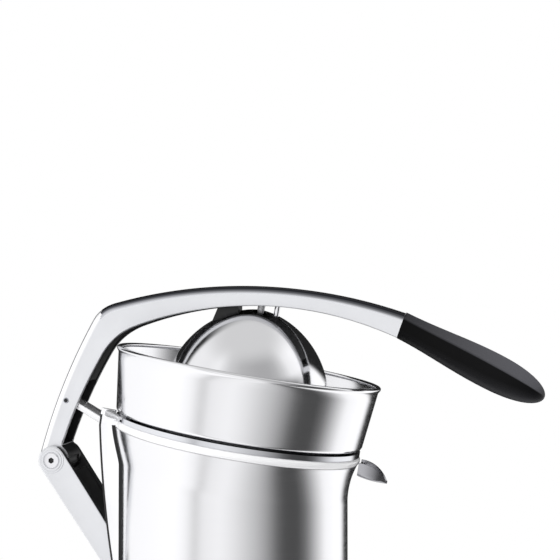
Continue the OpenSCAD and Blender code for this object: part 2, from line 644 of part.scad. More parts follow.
module juicing_cone() color("#e8e8ea") tilted() difference() {
    union() {
        cone_core(0);
        intersection() {
            cone_core(rib_h);
            for (i = [0:cone_ribs - 1]) rotate([0, 0, i * 360 / cone_ribs])
                translate([0, -rib_w / 2, cone_foot]) cube([cone_r + 5, rib_w, cone_h + 5]);
        }
    }
    translate([0, 0, cone_foot - 1]) cylinder(r = hub_r + liner_wall + 4, h = hub_top + 2 + 1 - cone_foot + 1);
    translate([0, 0, cone_foot - 1]) cylinder(r = spindle_r, h = spindle_top - cone_foot + 1, $fn = 6);
}

// ---- Spout ----
module drain_chute() color("#3c3d40") tilted() {
    difference() {
        union() {
            slab(chute_w) polygon(chute_side(0));
            slab(spout_w + 2 * gap) polygon([[spout_root - 1.6, spout_low - 2],
                [spout_root - 0.4, spout_low - 2], [spout_root - 0.4, collar_low - 0.3],
                [spout_root - 1.6, collar_low - 0.3]]);
        }
        slab(chute_w - 2 * chute_wall) polygon(chute_side(chute_wall));
        translate([drain_x, 0, deck_low - 5]) cylinder(r = drain_r + nest, h = 8);
    }
    for (s = [-1, 1]) difference() {
        slab(ear_w, s * (ear_out - ear_w / 2)) polygon([[spout_root - 0.4, pivot_z - 4.4],
            [spout_root + 2.6, pivot_z - 3.4], [spout_root + 4, pivot_z - 0.8],
            [spout_root + 3, pivot_z + 1.8], [spout_root + 1, pivot_z + 2.2], [spout_root - 0.1, pivot_z + 1.8],
            [spout_root - 0.1, collar_low - 0.3], [spout_root - 0.4, collar_low - 0.3]]);
        bar(spout_pivot, spout_pin_r, 3 * spout_w);
    }
}
tip = [spout_root + spout_l - 1, spout_low - 2.6];
spout_pin_r = 1.2;
spout_pivot = [spout_root + 1.4, pivot_z];
module spout_plan(t) polygon(concat(arc([spout_root, spout_w / 2 - t], [tip.x - t, 3 - t / 3], 2.4, 8),
    arc([tip.x - t, t / 3 - 3], [spout_root, t - spout_w / 2], 2.4, 8)));
module spout() color("#c4c5c8") tilted() difference() {
    intersection() {
        slab(spout_w) polygon(concat(arc([spout_root, spout_low], [tip.x, tip.y], -0.6, 6),
            arc([tip.x, tip.y + 0.8], [spout_root, pivot_z + 1.8], -3.2, 12)));
        translate([0, 0, -big / 2]) linear_extrude(big) spout_plan(0);
    }
    intersection() {
        slab(spout_w) polygon([[spout_root - 1, spout_low + spout_wall], [tip.x - 3, tip.y + spout_wall],
            [tip.x - 3, 0], [spout_root - 1, 0]]);
        translate([0, 0, -big / 2]) linear_extrude(big) spout_plan(spout_wall);
    }
    bar(spout_pivot, spout_pin_r + fit, 2 * spout_w);
}
module spout_pin() color("silver") tilted() bar(spout_pivot, spout_pin_r, spout_w - 2 * nest);

// ---- Strut ----
strut_u = dir(-strut_a);
strut_n = dir(90 - strut_a);
function along(s, t) = hinge + s * strut_u + t * strut_n;
module strut_side() {
    translate(hinge) circle(r = head_r);
    translate(foot) circle(r = strut_half);
    polygon([along(0, head_r), along(strut_l, strut_half), along(strut_l, -strut_half), along(0, -head_r)]);
}
web_start = head_r + 7.4;
web_end = strut_l - 2 * strut_half - 1.2;
module strut() color("#d9dadc") difference() {
    union() {
        for (s = [-1, 1]) slab(strut_wall, s * (strut_in + strut_wall / 2)) strut_side();
        slab(2 * strut_in + 2) polygon([along(web_start, 3 - strut_half), along(web_end, 3 - strut_half),
            along(web_end, -strut_half), along(web_start, -strut_half)]);
    }
    bar(hinge, pin_r, 3 * strut_out);
    bar(foot, pin_r + fit, 3 * strut_out);
}
module strut_cover() color("#151516") slab(2 * strut_in - nest) polygon([
    along(web_start - 3, strut_half - 2.8), along(web_start, 3.2 - strut_half + nest),
    along(web_start + 3, 3.2 - strut_half + nest), along(web_start + 3, strut_half - 3.4),
    along(web_end - 3, strut_half - 3.4), along(web_end - 3, 3.2 - strut_half + nest),
    along(web_end, 3.2 - strut_half + nest), along(web_end, strut_half - 1),
    along(web_start - 3, strut_half - 0.4)]);
screw_head_r = 5.1;
screw_head_h = 0.9;
module hinge_pin() color("silver") difference() {
    bar(hinge, pin_r, 2 * strut_out);
    for (s = [-1, 1]) bar(hinge, 2, 12, s * strut_out);
}
module hinge_screws() color("#e4e4e6") for (s = [-1, 1]) difference() {
    union() {
        bar(hinge, screw_head_r, screw_head_h, s * (strut_out + screw_head_h / 2));
        bar(hinge, 2, 5.8, s * (strut_out - 2.9));
    }
    translate([hinge.x, s * (strut_out + 0.2), hinge.y]) rotate([90, 0, 0])
        translate([0, 0, -1]) cylinder(r = 1.9, h = 2, $fn = 6);
}
bush_wall = 1.6;
module hinge_bushes() color("#c79a55") for (s = [-1, 1]) difference() {
    bar(hinge, pin_r + bush_wall, 8 + gap - 0.1, s * (arm_w / 2 - 4 + gap / 2 - 0.05));
    bar(hinge, pin_r + fit, 3 * arm_w);
}

// ---- Arm, grip and link ----
module arm_side() {
    polygon(concat(arm_outer, reverse(arm_inner)));
    translate(hinge) circle(r = arm_hub_r);
}
module channel_side() difference() {
    polygon(concat(shifted(arm_outer, arm_wall), reverse(shifted(arm_inner, 4))));
    translate(hinge) circle(r = hub_core_r);
    polygon([joint + 40 * joint_up, joint - 40 * joint_up, joint - 40 * joint_up - joint_block * dir(-joint_a),
        joint + 40 * joint_up - joint_block * dir(-joint_a)]);
}
stud_r = 2.5;
stud_boss_r = 5.5;
prop_r = 1.85;
prop_x = 12.5;
dome_x = 1.5;
tang_w = 14;
tang_h = 8;
tang_l = grip_l * 0.62;
module arm() color("#dcdde0") difference() {
    union() {
        difference() {
            slab(arm_w) arm_side();
            slab(channel_w) channel_side();
        }
        intersection() {
            slab(arm_w) arm_side();
            tilted() translate([dome_x, 0, 0]) cylinder(r = stud_boss_r, h = big);
        }
    }
    bar(hinge, pin_r + bush_wall, 2 * arm_w);
    bar(link_top, link_pin_r, 2 * arm_w);
    bar(lifted_eye, link_eye + gap, channel_w);
    tilted() translate([dome_x, 0, 0]) cylinder(r = stud_r, h = dome_top + 9);
    grip_frame() translate([-joint_block + 3, -tang_w / 2, -tang_h / 2]) cube([joint_block, tang_w, tang_h]);
}
liner_line = [for (p = arm_inner) if (p.x < joint.x - joint_block - 4 && p.y > link_top.y + 9) p];
module arm_liner() color("#151516") difference() {
    slab(channel_w - nest) polygon(concat(shifted(liner_line, -1), reverse(shifted(liner_line, -1 - liner_t))));
    tilted() translate([dome_x, 0, 0]) cylinder(r = stud_boss_r + nest, h = big);
    tilted() translate([prop_x, 0, 0]) cylinder(r = prop_r + fit, h = big);
}
// The grip's own frame: +X runs along it from the middle of the joint
module grip_frame() translate([joint.x, 0, joint.y]) rotate([0, grip_a, 0]) children();
belly = 0.62;
function swell(u, a, b) = u < belly ? a + (b - a) * (1 - cos(180 * u / belly)) / 2
    : b * pow(max(0, 1 - pow((u - belly) / (1 - belly), 2.3)), 0.5);
function oval(w, h, n = 28, e = 2.6) = [for (i = [0:n - 1]) let (a = 360 * i / n, c = cos(a), s = sin(a))
    [w / 2 * sign(c) * pow(abs(c), 2 / e), h / 2 * sign(s) * pow(abs(s), 2 / e)]];
grip_steps = [0, 0.1, 0.22, 0.35, 0.48, 0.62, 0.72, 0.8, 0.87, 0.92, 0.96, 0.985, 0.998];
module grip() color("#1b1b1d") difference() {
    grip_frame() loft([for (u = grip_steps) let (lean = (grip_a - joint_a) * max(0, 1 - u / 0.3))
        [for (p = oval(swell(u, arm_w + 1, grip_w), swell(u, joint_t + 1.6, grip_t)))
            [u * grip_l - p.y * sin(lean), p.x, p.y * cos(lean)]]]);
    grip_frame() translate([-5, -tang_w / 2 - nest / 2, -tang_h / 2 - nest / 2])
        cube([tang_l + 5 + nest, tang_w + nest, tang_h + nest]);
}
module grip_core() color("#8f9194") grip_frame() translate([-joint_block + 3, -tang_w / 2, -tang_h / 2])
    cube([joint_block - 3 + tang_l, tang_w, tang_h]);
link_w = channel_w - 1.6;
link_eye = link_pin_r + 1.8;
lifted_eye = link_top + turn(slot_low - link_top, [0, 0], strut_swing - arm_turn);
link_v = (slot_low - link_top) / norm(slot_low - link_top);
link_n = [-link_v.y, link_v.x];
module link_side() {
    translate(link_top) circle(r = link_eye);
    translate(slot_low) circle(r = link_eye);
    polygon([link_top + link_n * link_t / 2, link_top - link_n * link_t / 2,
        slot_low - link_n * link_t / 2, slot_low + link_n * link_t / 2]);
}
module link_bar() color("#cfd0d3") difference() {
    slab(link_w) link_side();
    bar(link_top, link_pin_r + fit, 2 * link_w);
    bar(slot_low, link_pin_r, 2 * link_w);
}
module link_pin() color("#8c8d90") bar(link_top, link_pin_r, arm_w);
module slot_pin() color("silver") bar(slot_low, link_pin_r, 2 * spine_in + cheek - 0.8);

// ---- Dome ----
module dome_solid(t) rotate_extrude()
    polygon(concat([[0, dome_foot]], crown(dome_r - t, dome_h - t, dome_foot)));
module dome() color("#cccdd0") tilted() translate([dome_x, 0, 0]) difference() {
    dome_solid(0);
    dome_solid(dome_wall);
    translate([0, 0, dome_foot - 1]) cylinder(r = dome_r - dome_wall, h = 1 + eps);
    cylinder(r = stud_r, h = big);
}
saddle_line = [for (p = arm_inner) if (p.x > rim_x - 27 && p.x < rim_x + 1) p];
saddle_w = 15;
module dome_saddle() color("#19191b") difference() {
    slab(saddle_w) polygon(concat(shifted(saddle_line, -1), [[saddle_line[len(saddle_line) - 1].x, rim_z + 20],
        [saddle_line[0].x, rim_z + 20]]));
    tilted() translate([dome_x, 0, 0]) dome_solid(0);
    tilted() translate([dome_x, 0, 0]) cylinder(r = stud_boss_r + nest, h = big);
}
module dome_stud() color("silver") tilted() translate([dome_x, 0, 0]) {
    translate([0, 0, dome_top - dome_wall - 3]) cylinder(r = stud_r, h = 12 + dome_wall);
    translate([0, 0, dome_top - dome_wall - 3.4]) cylinder(r = 5, h = 3, $fn = 6);
}
module dome_prop() color("#e4e4e6") difference() {
    tilted() translate([prop_x, 0, dome_top - 4]) cylinder(r = prop_r, h = 13);
    tilted() translate([dome_x, 0, 0]) dome_solid(0);
}

base_pad();
base_plate();
base_screws();
cord_gland();
rear_post();
body_shell();
collar_ring();
top_deck();
deck_screws();
spine_bracket();
spine_screws();
foot_pin();
foot_pin_clips();
lift_spring();
gear_plate();
gear_posts();
plate_screws();
motor();
motor_screws();
motor_pinion();
idler_axle();
idler_gear();
spindle_bush();
spindle();
spindle_gear();
press_guide();
thrust_cup();
press_spring();
start_switch();
bowl_ring();
juice_bowl();
outlet_seal();
strainer();
juicing_cone();
drain_chute();
spout();
spout_pin();
strut();
strut_cover();
hinge_pin();
hinge_screws();
hinge_bushes();
arm();
arm_liner();
grip();
grip_core();
link_bar();
link_pin();
slot_pin();
dome();
dome_saddle();
dome_stud();
dome_prop();
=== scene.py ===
# %% [markdown]
# # A citrus press with a folding arm
# The press is sheet steel, die-cast metal and black plastic round a tilted bowl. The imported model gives
# every piece its place: this lesson reads hinges and axes from the frame and dresses each piece.

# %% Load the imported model
import json
import bmesh
import bpy
from math import asin, atan2, copysign, cos, degrees, pi, radians, sin, sqrt, tau
from mathutils import Matrix, Vector


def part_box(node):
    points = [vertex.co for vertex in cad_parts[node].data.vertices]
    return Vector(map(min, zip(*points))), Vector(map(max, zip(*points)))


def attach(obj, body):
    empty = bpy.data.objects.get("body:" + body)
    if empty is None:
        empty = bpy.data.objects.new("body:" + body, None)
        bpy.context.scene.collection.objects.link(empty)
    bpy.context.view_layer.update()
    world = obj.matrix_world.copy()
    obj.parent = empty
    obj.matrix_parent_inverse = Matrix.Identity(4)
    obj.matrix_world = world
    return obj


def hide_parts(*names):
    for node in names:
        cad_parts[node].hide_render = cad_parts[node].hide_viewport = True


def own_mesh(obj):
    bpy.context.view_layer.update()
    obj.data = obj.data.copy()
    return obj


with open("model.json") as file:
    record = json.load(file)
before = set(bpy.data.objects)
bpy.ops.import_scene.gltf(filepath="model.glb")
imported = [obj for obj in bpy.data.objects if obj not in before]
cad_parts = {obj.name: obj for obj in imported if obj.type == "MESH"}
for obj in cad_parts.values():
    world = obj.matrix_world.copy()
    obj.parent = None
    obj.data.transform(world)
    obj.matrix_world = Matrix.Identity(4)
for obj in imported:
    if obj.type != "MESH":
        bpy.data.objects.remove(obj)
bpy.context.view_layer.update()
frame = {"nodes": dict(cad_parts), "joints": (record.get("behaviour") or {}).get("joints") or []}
print("nodes loaded:", len(frame["nodes"]))

# %% [markdown]
# ## Millimetres and the two working frames
# Metalwork is drawn in millimetres, so each mesh is shaped in millimetres and scaled once at the end.
# Bowl, dome and collar are turned parts about a leaning spindle: they are shaped upright and leaned last.

# %% Working frames
MM = 0.001
UPRIGHT = Matrix.Identity(4)
joints = {joint["name"]: joint for joint in frame["joints"]}
spindle = joints["cone_spin"]
rim = Vector(spindle["pos_m"]) / MM
lean = atan2(spindle["axis"][0], spindle["axis"][2])
LEANING = Matrix.Translation(rim) @ Matrix.Rotation(lean, 4, "Y")
print("rim middle", tuple(round(v, 1) for v in rim), "lean", round(degrees(lean), 2))


# %% Scene objects and side view points
def add_object(name, data):
    """Puts new data into the scene, unmoved."""
    thing = bpy.data.objects.new(name, data)
    bpy.context.scene.collection.objects.link(thing)
    return thing


def side_point(name):
    """A joint's place in the side view, in mm."""
    place = Vector(joints[name]["pos_m"]) / MM
    return Vector((place.x, place.z))


hinge = side_point("arm_lift")
foot = side_point("strut_swing")
link_top = side_point("link_turn")
print("hinge", tuple(hinge), "foot", tuple(foot), "link", tuple(link_top))

# %% [markdown]
# ## The camera
# The camera stands a little to the front of the press and barely above the bowl's rim, as for a
# catalogue picture. A long lens keeps the bowl's circle calm.

# %% Camera
AZIMUTH, ELEVATION, DISTANCE = 10.0, 2.487, 872.6
AIM_RIGHT, AIM_UP = 1.363, 1.336
SENSOR_WIDTH, FOCAL_LENGTH, NEAREST = 36.0, 81.84, 50.0
around, above = radians(AZIMUTH), radians(ELEVATION)
away = Vector((sin(around) * cos(above), -cos(around) * cos(above), sin(above)))
lens = bpy.data.cameras.new("catalogue_lens")
lens.sensor_width, lens.lens, lens.clip_start = SENSOR_WIDTH, FOCAL_LENGTH, NEAREST * MM
camera = add_object("catalogue_camera", lens)
camera.location = (rim + away * DISTANCE) * MM
camera.rotation_euler = (radians(90 + AIM_UP), 0, radians(AZIMUTH - AIM_RIGHT))
bpy.context.scene.camera = camera
bpy.context.scene.view_settings.view_transform = "Standard"
print("camera at", tuple(round(v, 3) for v in camera.location))


# %% [markdown]
# ## Colours and material nodes
# A colour is written as the hex value that a colour picker shows, and one function turns it to the
# linear values that the shader works with. The others add the nodes that patterns are made of.

# %% Colour and node helpers
def linear(hex_colour):
    """The linear colour, with full cover, of a hex value such as #c0c0c4."""
    parts = [int(hex_colour[i:i + 2], 16) / 255 for i in (1, 3, 5)]
    return [p / 12.92 if p <= 0.04045 else ((p + 0.055) / 1.055) ** 2.4 for p in parts] + [1.0]


def give_inputs(tree, node, inputs):
    """Gives each named input a value or the output that feeds it."""
    for name, value in inputs.items():
        if isinstance(value, bpy.types.NodeSocket):
            tree.links.new(value, node.inputs[name])
        else:
            node.inputs[name].default_value = value


def add_node(tree, kind, inputs=None, **settings):
    """Adds a shader node, and gives it its own settings and its inputs."""
    node = tree.nodes.new("ShaderNode" + kind)
    for name, value in settings.items():
        setattr(node, name, value)
    give_inputs(tree, node, inputs or {})
    return node


def maths(tree, operation, *terms, kind="Math", result="Value", **more):
    """Works out a number from numbers or, in a VectorMath node, from vectors."""
    return add_node(tree, kind, dict(enumerate(terms)) | more, operation=operation).outputs[result]


def vector_maths(tree, operation, *terms, **more):
    """Works out a vector from others."""
    return maths(tree, operation, *terms, kind="VectorMath", result="Vector", **more)


def map_range(tree, source, start, end, low=0.0, high=1.0, **settings):
    """Maps a value in the range from start to end onto the range from low to high."""
    inputs = {"Value": source, "From Min": start, "From Max": end, "To Min": low, "To Max": high}
    return add_node(tree, "MapRange", inputs, **settings).outputs["Result"]


def noise(tree, source, scale, detail, roughness=0.5):
    """A cloudy pattern of a given scale over the points that source gives."""
    inputs = {"Vector": source, "Scale": scale, "Detail": detail, "Roughness": roughness}
    return add_node(tree, "TexNoise", inputs).outputs["Fac"]


def axes_of(tree, source):
    """The X, Y and Z outputs of a vector, or of a named one that the shader gets."""
    if isinstance(source, str):
        source = add_node(tree, "TexCoord").outputs[source]
    return add_node(tree, "SeparateXYZ", {"Vector": source}).outputs


def new_material(name, colour, metallic, roughness, **values):
    """A plain finish; the pattern functions build on its tree and its shader."""
    material = bpy.data.materials.new(name)
    material.use_nodes = True
    material.diffuse_color = linear(colour)
    tree, shader = material.node_tree, material.node_tree.nodes["Principled BSDF"]
    base = {"Base Color": linear(colour), "Metallic": metallic, "Roughness": roughness}
    give_inputs(tree, shader, base | values)
    return material, tree, shader


def colour_ramp(tree, factor, stops):
    """Turns a factor into a colour through stops of (place, linear colour), in rising order."""
    ramp = add_node(tree, "ValToRGB", {"Fac": factor})
    marks = ramp.color_ramp.elements
    marks[0].position, marks[0].color = stops[0]
    marks[1].position, marks[1].color = stops[-1]
    for place, colour in stops[1:-1]:
        marks.new(place).color = colour
    return ramp.outputs["Color"]


def give_surface(tree, shader, gloss, roughness, spread, height, strength, depth_mm):
    """Varies a finish's gloss by one pattern and bends its surface by another."""
    rough = map_range(tree, gloss, 0.0, 1.0, roughness * (1 - spread), roughness * (1 + spread))
    bump = add_node(tree, "Bump", {"Strength": strength, "Distance": depth_mm * MM, "Height": height})
    give_inputs(tree, shader, {"Roughness": rough, "Normal": bump.outputs["Normal"]})


# %% [markdown]
# ## Brushed steel
# Ring, dome and body are stainless sheet, ground by a belt as they turn, so each scratch runs round the
# axis. A noise is stretched along the way round and squeezed along the height. Real lines are about a
# tenth of a millimetre wide; they are drawn coarser here so that they show.

# %% Brushed steel
SCRATCH_PITCH, SCRATCH_LENGTH, TYPICAL_RADIUS = 0.9, 60.0, 80.0


def brushed_steel(name, colour, roughness, place, scratch=0.4, bend=0.012):
    """Steel ground round an axis; place leans the axis, scratch varies the gloss, bend is in mm."""
    material, tree, shader = new_material(name, colour, 1.0, roughness)
    inputs = {"Vector": add_node(tree, "TexCoord").outputs["Object"],
              "Location": place.to_translation() * MM, "Rotation": place.to_euler()}
    axes = axes_of(tree, add_node(tree, "Mapping", inputs, vector_type="TEXTURE").outputs["Vector"])
    flat = add_node(tree, "CombineXYZ", {"X": axes["X"], "Y": axes["Y"]}).outputs["Vector"]
    along = maths(tree, "SUBTRACT", axes["Z"], maths(tree, "LENGTH", flat, kind="VectorMath"))
    around = vector_maths(tree, "NORMALIZE", flat)
    sweep = vector_maths(tree, "SCALE", around, Scale=TYPICAL_RADIUS / SCRATCH_LENGTH)
    lines = maths(tree, "MULTIPLY", along, 1 / (SCRATCH_PITCH * MM))
    lift = add_node(tree, "CombineXYZ", {"Z": lines}).outputs["Vector"]
    grain = noise(tree, vector_maths(tree, "ADD", sweep, lift), 1.0, 3.0, 0.6)
    give_surface(tree, shader, grain, roughness, scratch, grain, 0.35, bend)
    return material


steel_leaning = brushed_steel("brushed_stainless_bowl", "#e1e1e3", 0.16, LEANING)
steel_upright = brushed_steel("brushed_stainless_body", "#e1e1e3", 0.18, UPRIGHT)
steel_domed = brushed_steel("fine_ground_stainless_dome", "#e1e1e3", 0.11, LEANING, 0.25, 0.004)
steel_spout = brushed_steel("ground_stainless_spout", "#a9a9ad", 0.24, LEANING, 0.5)
print("steels ready:", len(bpy.data.materials))


# %% [markdown]
# ## Cast, moulded and plated finishes
# Arm, strut and spine are pressure-cast aluminium under a satin coat with a faint orange-peel. The
# plastics are moulded: a fine spark-eroded grain on the black ones, a smooth gloss on the white collar.
# Small steel parts are plated and pick up faint handling marks.

# %% Grained finishes
def grained(name, colour, metallic, roughness, grain_mm, depth_mm, shades=None, **values):
    """A finish with a fine grain and slow clouds in its gloss and, between two shades, in its colour."""
    material, tree, shader = new_material(name, colour, metallic, roughness, **values)
    where = add_node(tree, "TexCoord").outputs["Object"]
    grain = noise(tree, where, 1 / (grain_mm * MM), 2.0)
    cloud = noise(tree, where, 1 / (25 * grain_mm * MM), 4.0)
    if shades:
        tone = colour_ramp(tree, cloud, [(0.3, linear(shades[0])), (0.7, linear(shades[1]))])
        give_inputs(tree, shader, {"Base Color": tone})
    give_surface(tree, shader, cloud, roughness, 0.15, grain, 0.4, depth_mm)
    return material


cast_coat = grained("satin_coated_casting", "#dcdde0", 0.75, 0.3, 0.9, 0.01, ("#dadbde", "#e0e1e4"))
# The next two finishes are the same coated casting with painted reflection: a dark band, and a painted
# highlight with a thin dark outline. Their tones are set by slope below.
cast_painted_reflection = grained("casting_painted_reflection", "#34353a", 1.0, 0.14, 1.2, 0.004)
cast_painted_edge_reflection = grained("satin_coated_casting_painted_edge_reflection", "#f4f4f6", 0.75, 0.3, 0.9, 0.01)
cast_gloss = grained("polished_casting", "#f8f8fa", 0.6, 0.16, 1.2, 0.006, ("#f5f5f7", "#fbfbfd"))
polished_edge = grained("polished_stainless_edge", "#cfd0d4", 1.0, 0.12, 1.0, 0.004)
white_abs = grained("gloss_white_abs", "#fcfcfd", 0.0, 0.14, 1.5, 0.006, IOR=1.52)
black_abs = grained("grained_black_abs", "#08080a", 0.0, 0.5, 0.5, 0.02, ("#060607", "#0d0d0f"))
# The grip's black gets a painted sheen on its top and underside and painted shade on its sides, set by slope
# below.
soft_black_painted_shading = grained("soft_touch_black_painted_shading", "#161618", 0.0, 0.45, 0.35, 0.012, **{"Specular IOR Level": 0.08})
base_rubber = grained("moulded_rubber", "#151516", 0.0, 0.75, 0.6, 0.03, ("#121213", "#1b1b1c"))
smoke_san = grained("smoke_grey_san", "#3a3b3f", 0.0, 0.12, 1.2, 0.004, ("#36373b", "#404146"))
white_acetal = grained("natural_acetal", "#e4e1d6", 0.0, 0.4, 0.8, 0.01, ("#e0ddd1", "#e8e5db"))
cone_abs = grained("white_abs_cone", "#ececee", 0.0, 0.22, 1.2, 0.006)
zinc_plate = grained("zinc_plated_steel", "#b9bbc0", 1.0, 0.28, 0.7, 0.006, ("#b2b4ba", "#c1c3c8"))
bright_pin = grained("polished_steel_pin", "#e2e2e5", 1.0, 0.1, 0.6, 0.002)
oiled_wire = grained("oiled_spring_wire", "#8e9096", 1.0, 0.32, 0.4, 0.004, ("#86888e", "#989aa0"))
sinter_bronze = grained("sintered_bronze", "#b98a52", 1.0, 0.45, 0.3, 0.01, ("#ad7f48", "#c4965e"))
turned_brass = grained("turned_brass", "#c8a55e", 1.0, 0.22, 0.5, 0.004)
galvanised = grained("galvanised_sheet", "#8d9096", 0.9, 0.4, 2.0, 0.01, ("#82858b", "#9a9da3"))
motor_grey = grained("grey_zinc_can", "#64676c", 0.8, 0.42, 1.0, 0.01, ("#5c5f64", "#6d7076"))
satin_zinc = grained("bright_satin_zinc", "#f0f0f2", 0.5, 0.5, 0.7, 0.006)
perforated = grained("satin_strainer_steel", "#c4c5c9", 1.0, 0.3, 0.6, 0.006)
print("finishes ready:", len(bpy.data.materials))


# %% [markdown]
# ## Painted light that follows the shape
# These finishes have light and shade painted into their colour by the way that the surface faces, so each
# painted tone stays on its edge from every side. The rounded back of the polished casting gets painted
# reflection, light and dark in turn; the grip gets painted shade, blackest where its sides hang over, and
# a painted sheen on its top and underside. The grip's colour also grows paler towards its nose.

# %% Painted light from slope, and a fade along the grip
def shade_by_slope(material, axis, stops):
    """Paints light and shade into a finish's colour by how far its surface faces along one axis."""
    tree = material.node_tree
    facing = map_range(tree, axes_of(tree, "Normal")[axis], -1.0, 1.0)
    tone = colour_ramp(tree, facing, [((share + 1) / 2, linear(colour)) for share, colour in stops])
    tree.links.new(tone, tree.nodes["Principled BSDF"].inputs["Base Color"])


def fade_along(material, near, far, near_share, far_share):
    """Scales a finish's colour by a share that changes between two places on the X axis."""
    tree = material.node_tree
    colour = tree.nodes["Principled BSDF"].inputs["Base Color"]
    share = map_range(tree, axes_of(tree, "Object")["X"], near, far, near_share, far_share)
    tree.links.new(vector_maths(tree, "SCALE", colour.links[0].from_socket, Scale=share), colour)


# Painted reflection on the arm's back past the elbow: dark across the round, lighter in its middle and at
# its sides.
shade_by_slope(cast_painted_reflection, "Y", [(-1.0, "#d4d5d9"), (-0.9, "#6a6b70"), (-0.75, "#26272b"), (-0.3, "#2c2d31"),
                                (0.0, "#6e6f74"), (0.3, "#2c2d31"), (0.75, "#26272b"), (0.9, "#6a6b70"),
                                (1.0, "#d4d5d9")])
# Painted highlight on the arm's back before the elbow, with a thin painted dark outline at its outer edge.
shade_by_slope(cast_painted_edge_reflection, "X", [(-1.0, "#a2a3a7"), (-0.9, "#47484c"), (-0.77, "#55565a"), (-0.66, "#f6f6f8"),
                                (-0.2, "#f6f6f8"), (0.0, "#dcdde0"), (1.0, "#dcdde0")])
# Painted shade on the grip's sides where they hang over, and a painted sheen on its top and underside.
shade_by_slope(soft_black_painted_shading, "Z", [(-1.0, "#2c2c2f"), (-0.5, "#19191b"), (-0.15, "#0a0a0b"), (0.25, "#0e0e0f"),
                                 (0.55, "#444448"), (1.0, "#56565a")])
grip_low, grip_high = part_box("grip")
fade_along(soft_black_painted_shading, grip_low[0], grip_high[0], near_share=0.35, far_share=1.5)
print("grip reaches from", round(grip_low[0] / MM, 1), "to", round(grip_high[0] / MM, 1), "mm")

# %% Dress the nodes that stay
dressed = {
    base_rubber: ["base_pad", "cord_gland", "outlet_seal"],
    black_abs: ["base_plate", "press_guide", "start_switch", "arm_liner", "strut_cover"],
    zinc_plate: ["base_screws", "deck_screws", "spine_screws", "gear_posts", "plate_screws", "motor_screws"],
    galvanised: ["rear_post", "gear_plate", "grip_core"],
    polished_edge: ["top_deck"],
    satin_zinc: ["dome_stud"],
    bright_pin: ["foot_pin", "idler_axle", "spindle", "spout_pin", "hinge_pin", "slot_pin", "dome_prop"],
    oiled_wire: ["foot_pin_clips", "lift_spring"],
    motor_grey: ["motor"],
    turned_brass: ["motor_pinion"],
    white_acetal: ["idler_gear", "spindle_gear", "thrust_cup"],
    sinter_bronze: ["spindle_bush", "hinge_bushes"],
    smoke_san: ["juice_bowl"],
    perforated: ["strainer"],
    cone_abs: ["juicing_cone"],
}
for material, names in dressed.items():
    for name in names:
        mesh = frame["nodes"][name].data
        mesh.materials.clear()
        mesh.materials.append(material)
print("nodes dressed:", sum(len(names) for names in dressed.values()))

# %% [markdown]
# ## Shaping helpers
# Three ways of working cover nearly every piece: a profile turned about the spindle, a side view
# extruded across the arm, and a cut with another shape. Each bmesh ends in one hand-over that leans it,
# scales it to metres, shades it, hangs it on the body that it rides on and hides the nodes it stands for.


def move(bm, matrix):
    """Moves a whole bmesh by a matrix."""
    bmesh.ops.transform(bm, matrix=matrix, verts=bm.verts)


def hand_over(bm, name, body, finishes, nodes, place=UPRIGHT, sharp=32):
    """Makes a piece of a bmesh in mm: it rides on a body and stands for the nodes that it replaces."""
    bmesh.ops.remove_doubles(bm, verts=bm.verts, dist=0.0005)
    bmesh.ops.recalc_face_normals(bm, faces=bm.faces)
    move(bm, Matrix.Scale(MM, 4) @ place)
    mesh = bpy.data.meshes.new(name)
    bm.to_mesh(mesh)
    bm.free()
    mesh.shade_smooth()
    mesh.set_sharp_from_angle(angle=radians(sharp))
    for finish in finishes:
        mesh.materials.append(finish)
    piece = add_object(name, mesh)
    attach(piece, body)
    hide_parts(*nodes)
    print(name, "faces:", len(mesh.polygons))
    return piece


# %% Lines of points
def bow(start, end, rise, steps=24):
    """Points of an arc from start to end; a positive rise bows it to the left of the way."""
    start, end = Vector(start), Vector(end)
    chord = end - start
    reach, side = chord.length, Vector((-chord.y, chord.x)).normalized()
    radius = (reach * reach / 4 + rise * rise) / (2 * abs(rise))
    sign = 1 if rise > 0 else -1
    middle = (start + end) / 2 - side * sign * (radius - abs(rise))
    top, half = atan2(sign * side.y, sign * side.x), asin(min(1, reach / 2 / radius))
    return [middle + radius * Vector((cos(a), sin(a)))
            for a in (top + sign * half * (1 - 2 * i / steps) for i in range(steps + 1))]


def round_corner(before, corner, after, radius, steps=10):
    """Joins two lines of points that meet at a corner by a smooth bend."""
    corner = Vector(corner)
    before, after = ([p for p in line if (p - corner).length > radius] for line in (before, after))
    a, b = before[-1], after[0]
    bend = [(1 - t) ** 2 * a + 2 * t * (1 - t) * corner + t * t * b
            for t in (i / steps for i in range(1, steps))]
    return before + bend + after


def offset_line(line, shift):
    """Moves a line of points sideways, to the left of the way for a positive shift."""
    moved = []
    for i, p in enumerate(line):
        way = (line[min(i + 1, len(line) - 1)] - line[max(i - 1, 0)]).normalized()
        moved.append(p + shift * Vector((-way.y, way.x)))
    return moved


def height_at(line, x):
    """The second coordinate of a line of points at a given first coordinate."""
    points = sorted(line, key=lambda p: p[0])
    for a, b in zip(points, points[1:]):
        if a[0] <= x <= b[0]:
            return a[1] + (b[1] - a[1]) * (x - a[0]) / max(b[0] - a[0], 1e-6)
    return points[0][1] if x < points[0][0] else points[-1][1]


# %% Turned, flat and block shapes
ROUND_STEPS = 192


def turned_shape(profile, steps=ROUND_STEPS):
    """Spins a line of (radius, height) points about the upright axis."""
    bm = bmesh.new()
    line = [bm.verts.new((r, 0, z)) for r, z in profile]
    edges = [bm.edges.new(pair) for pair in zip(line, line[1:])]
    bmesh.ops.spin(bm, geom=line + edges, cent=(0, 0, 0), axis=(0, 0, 1), angle=tau, steps=steps,
                   use_merge=True)
    return bm


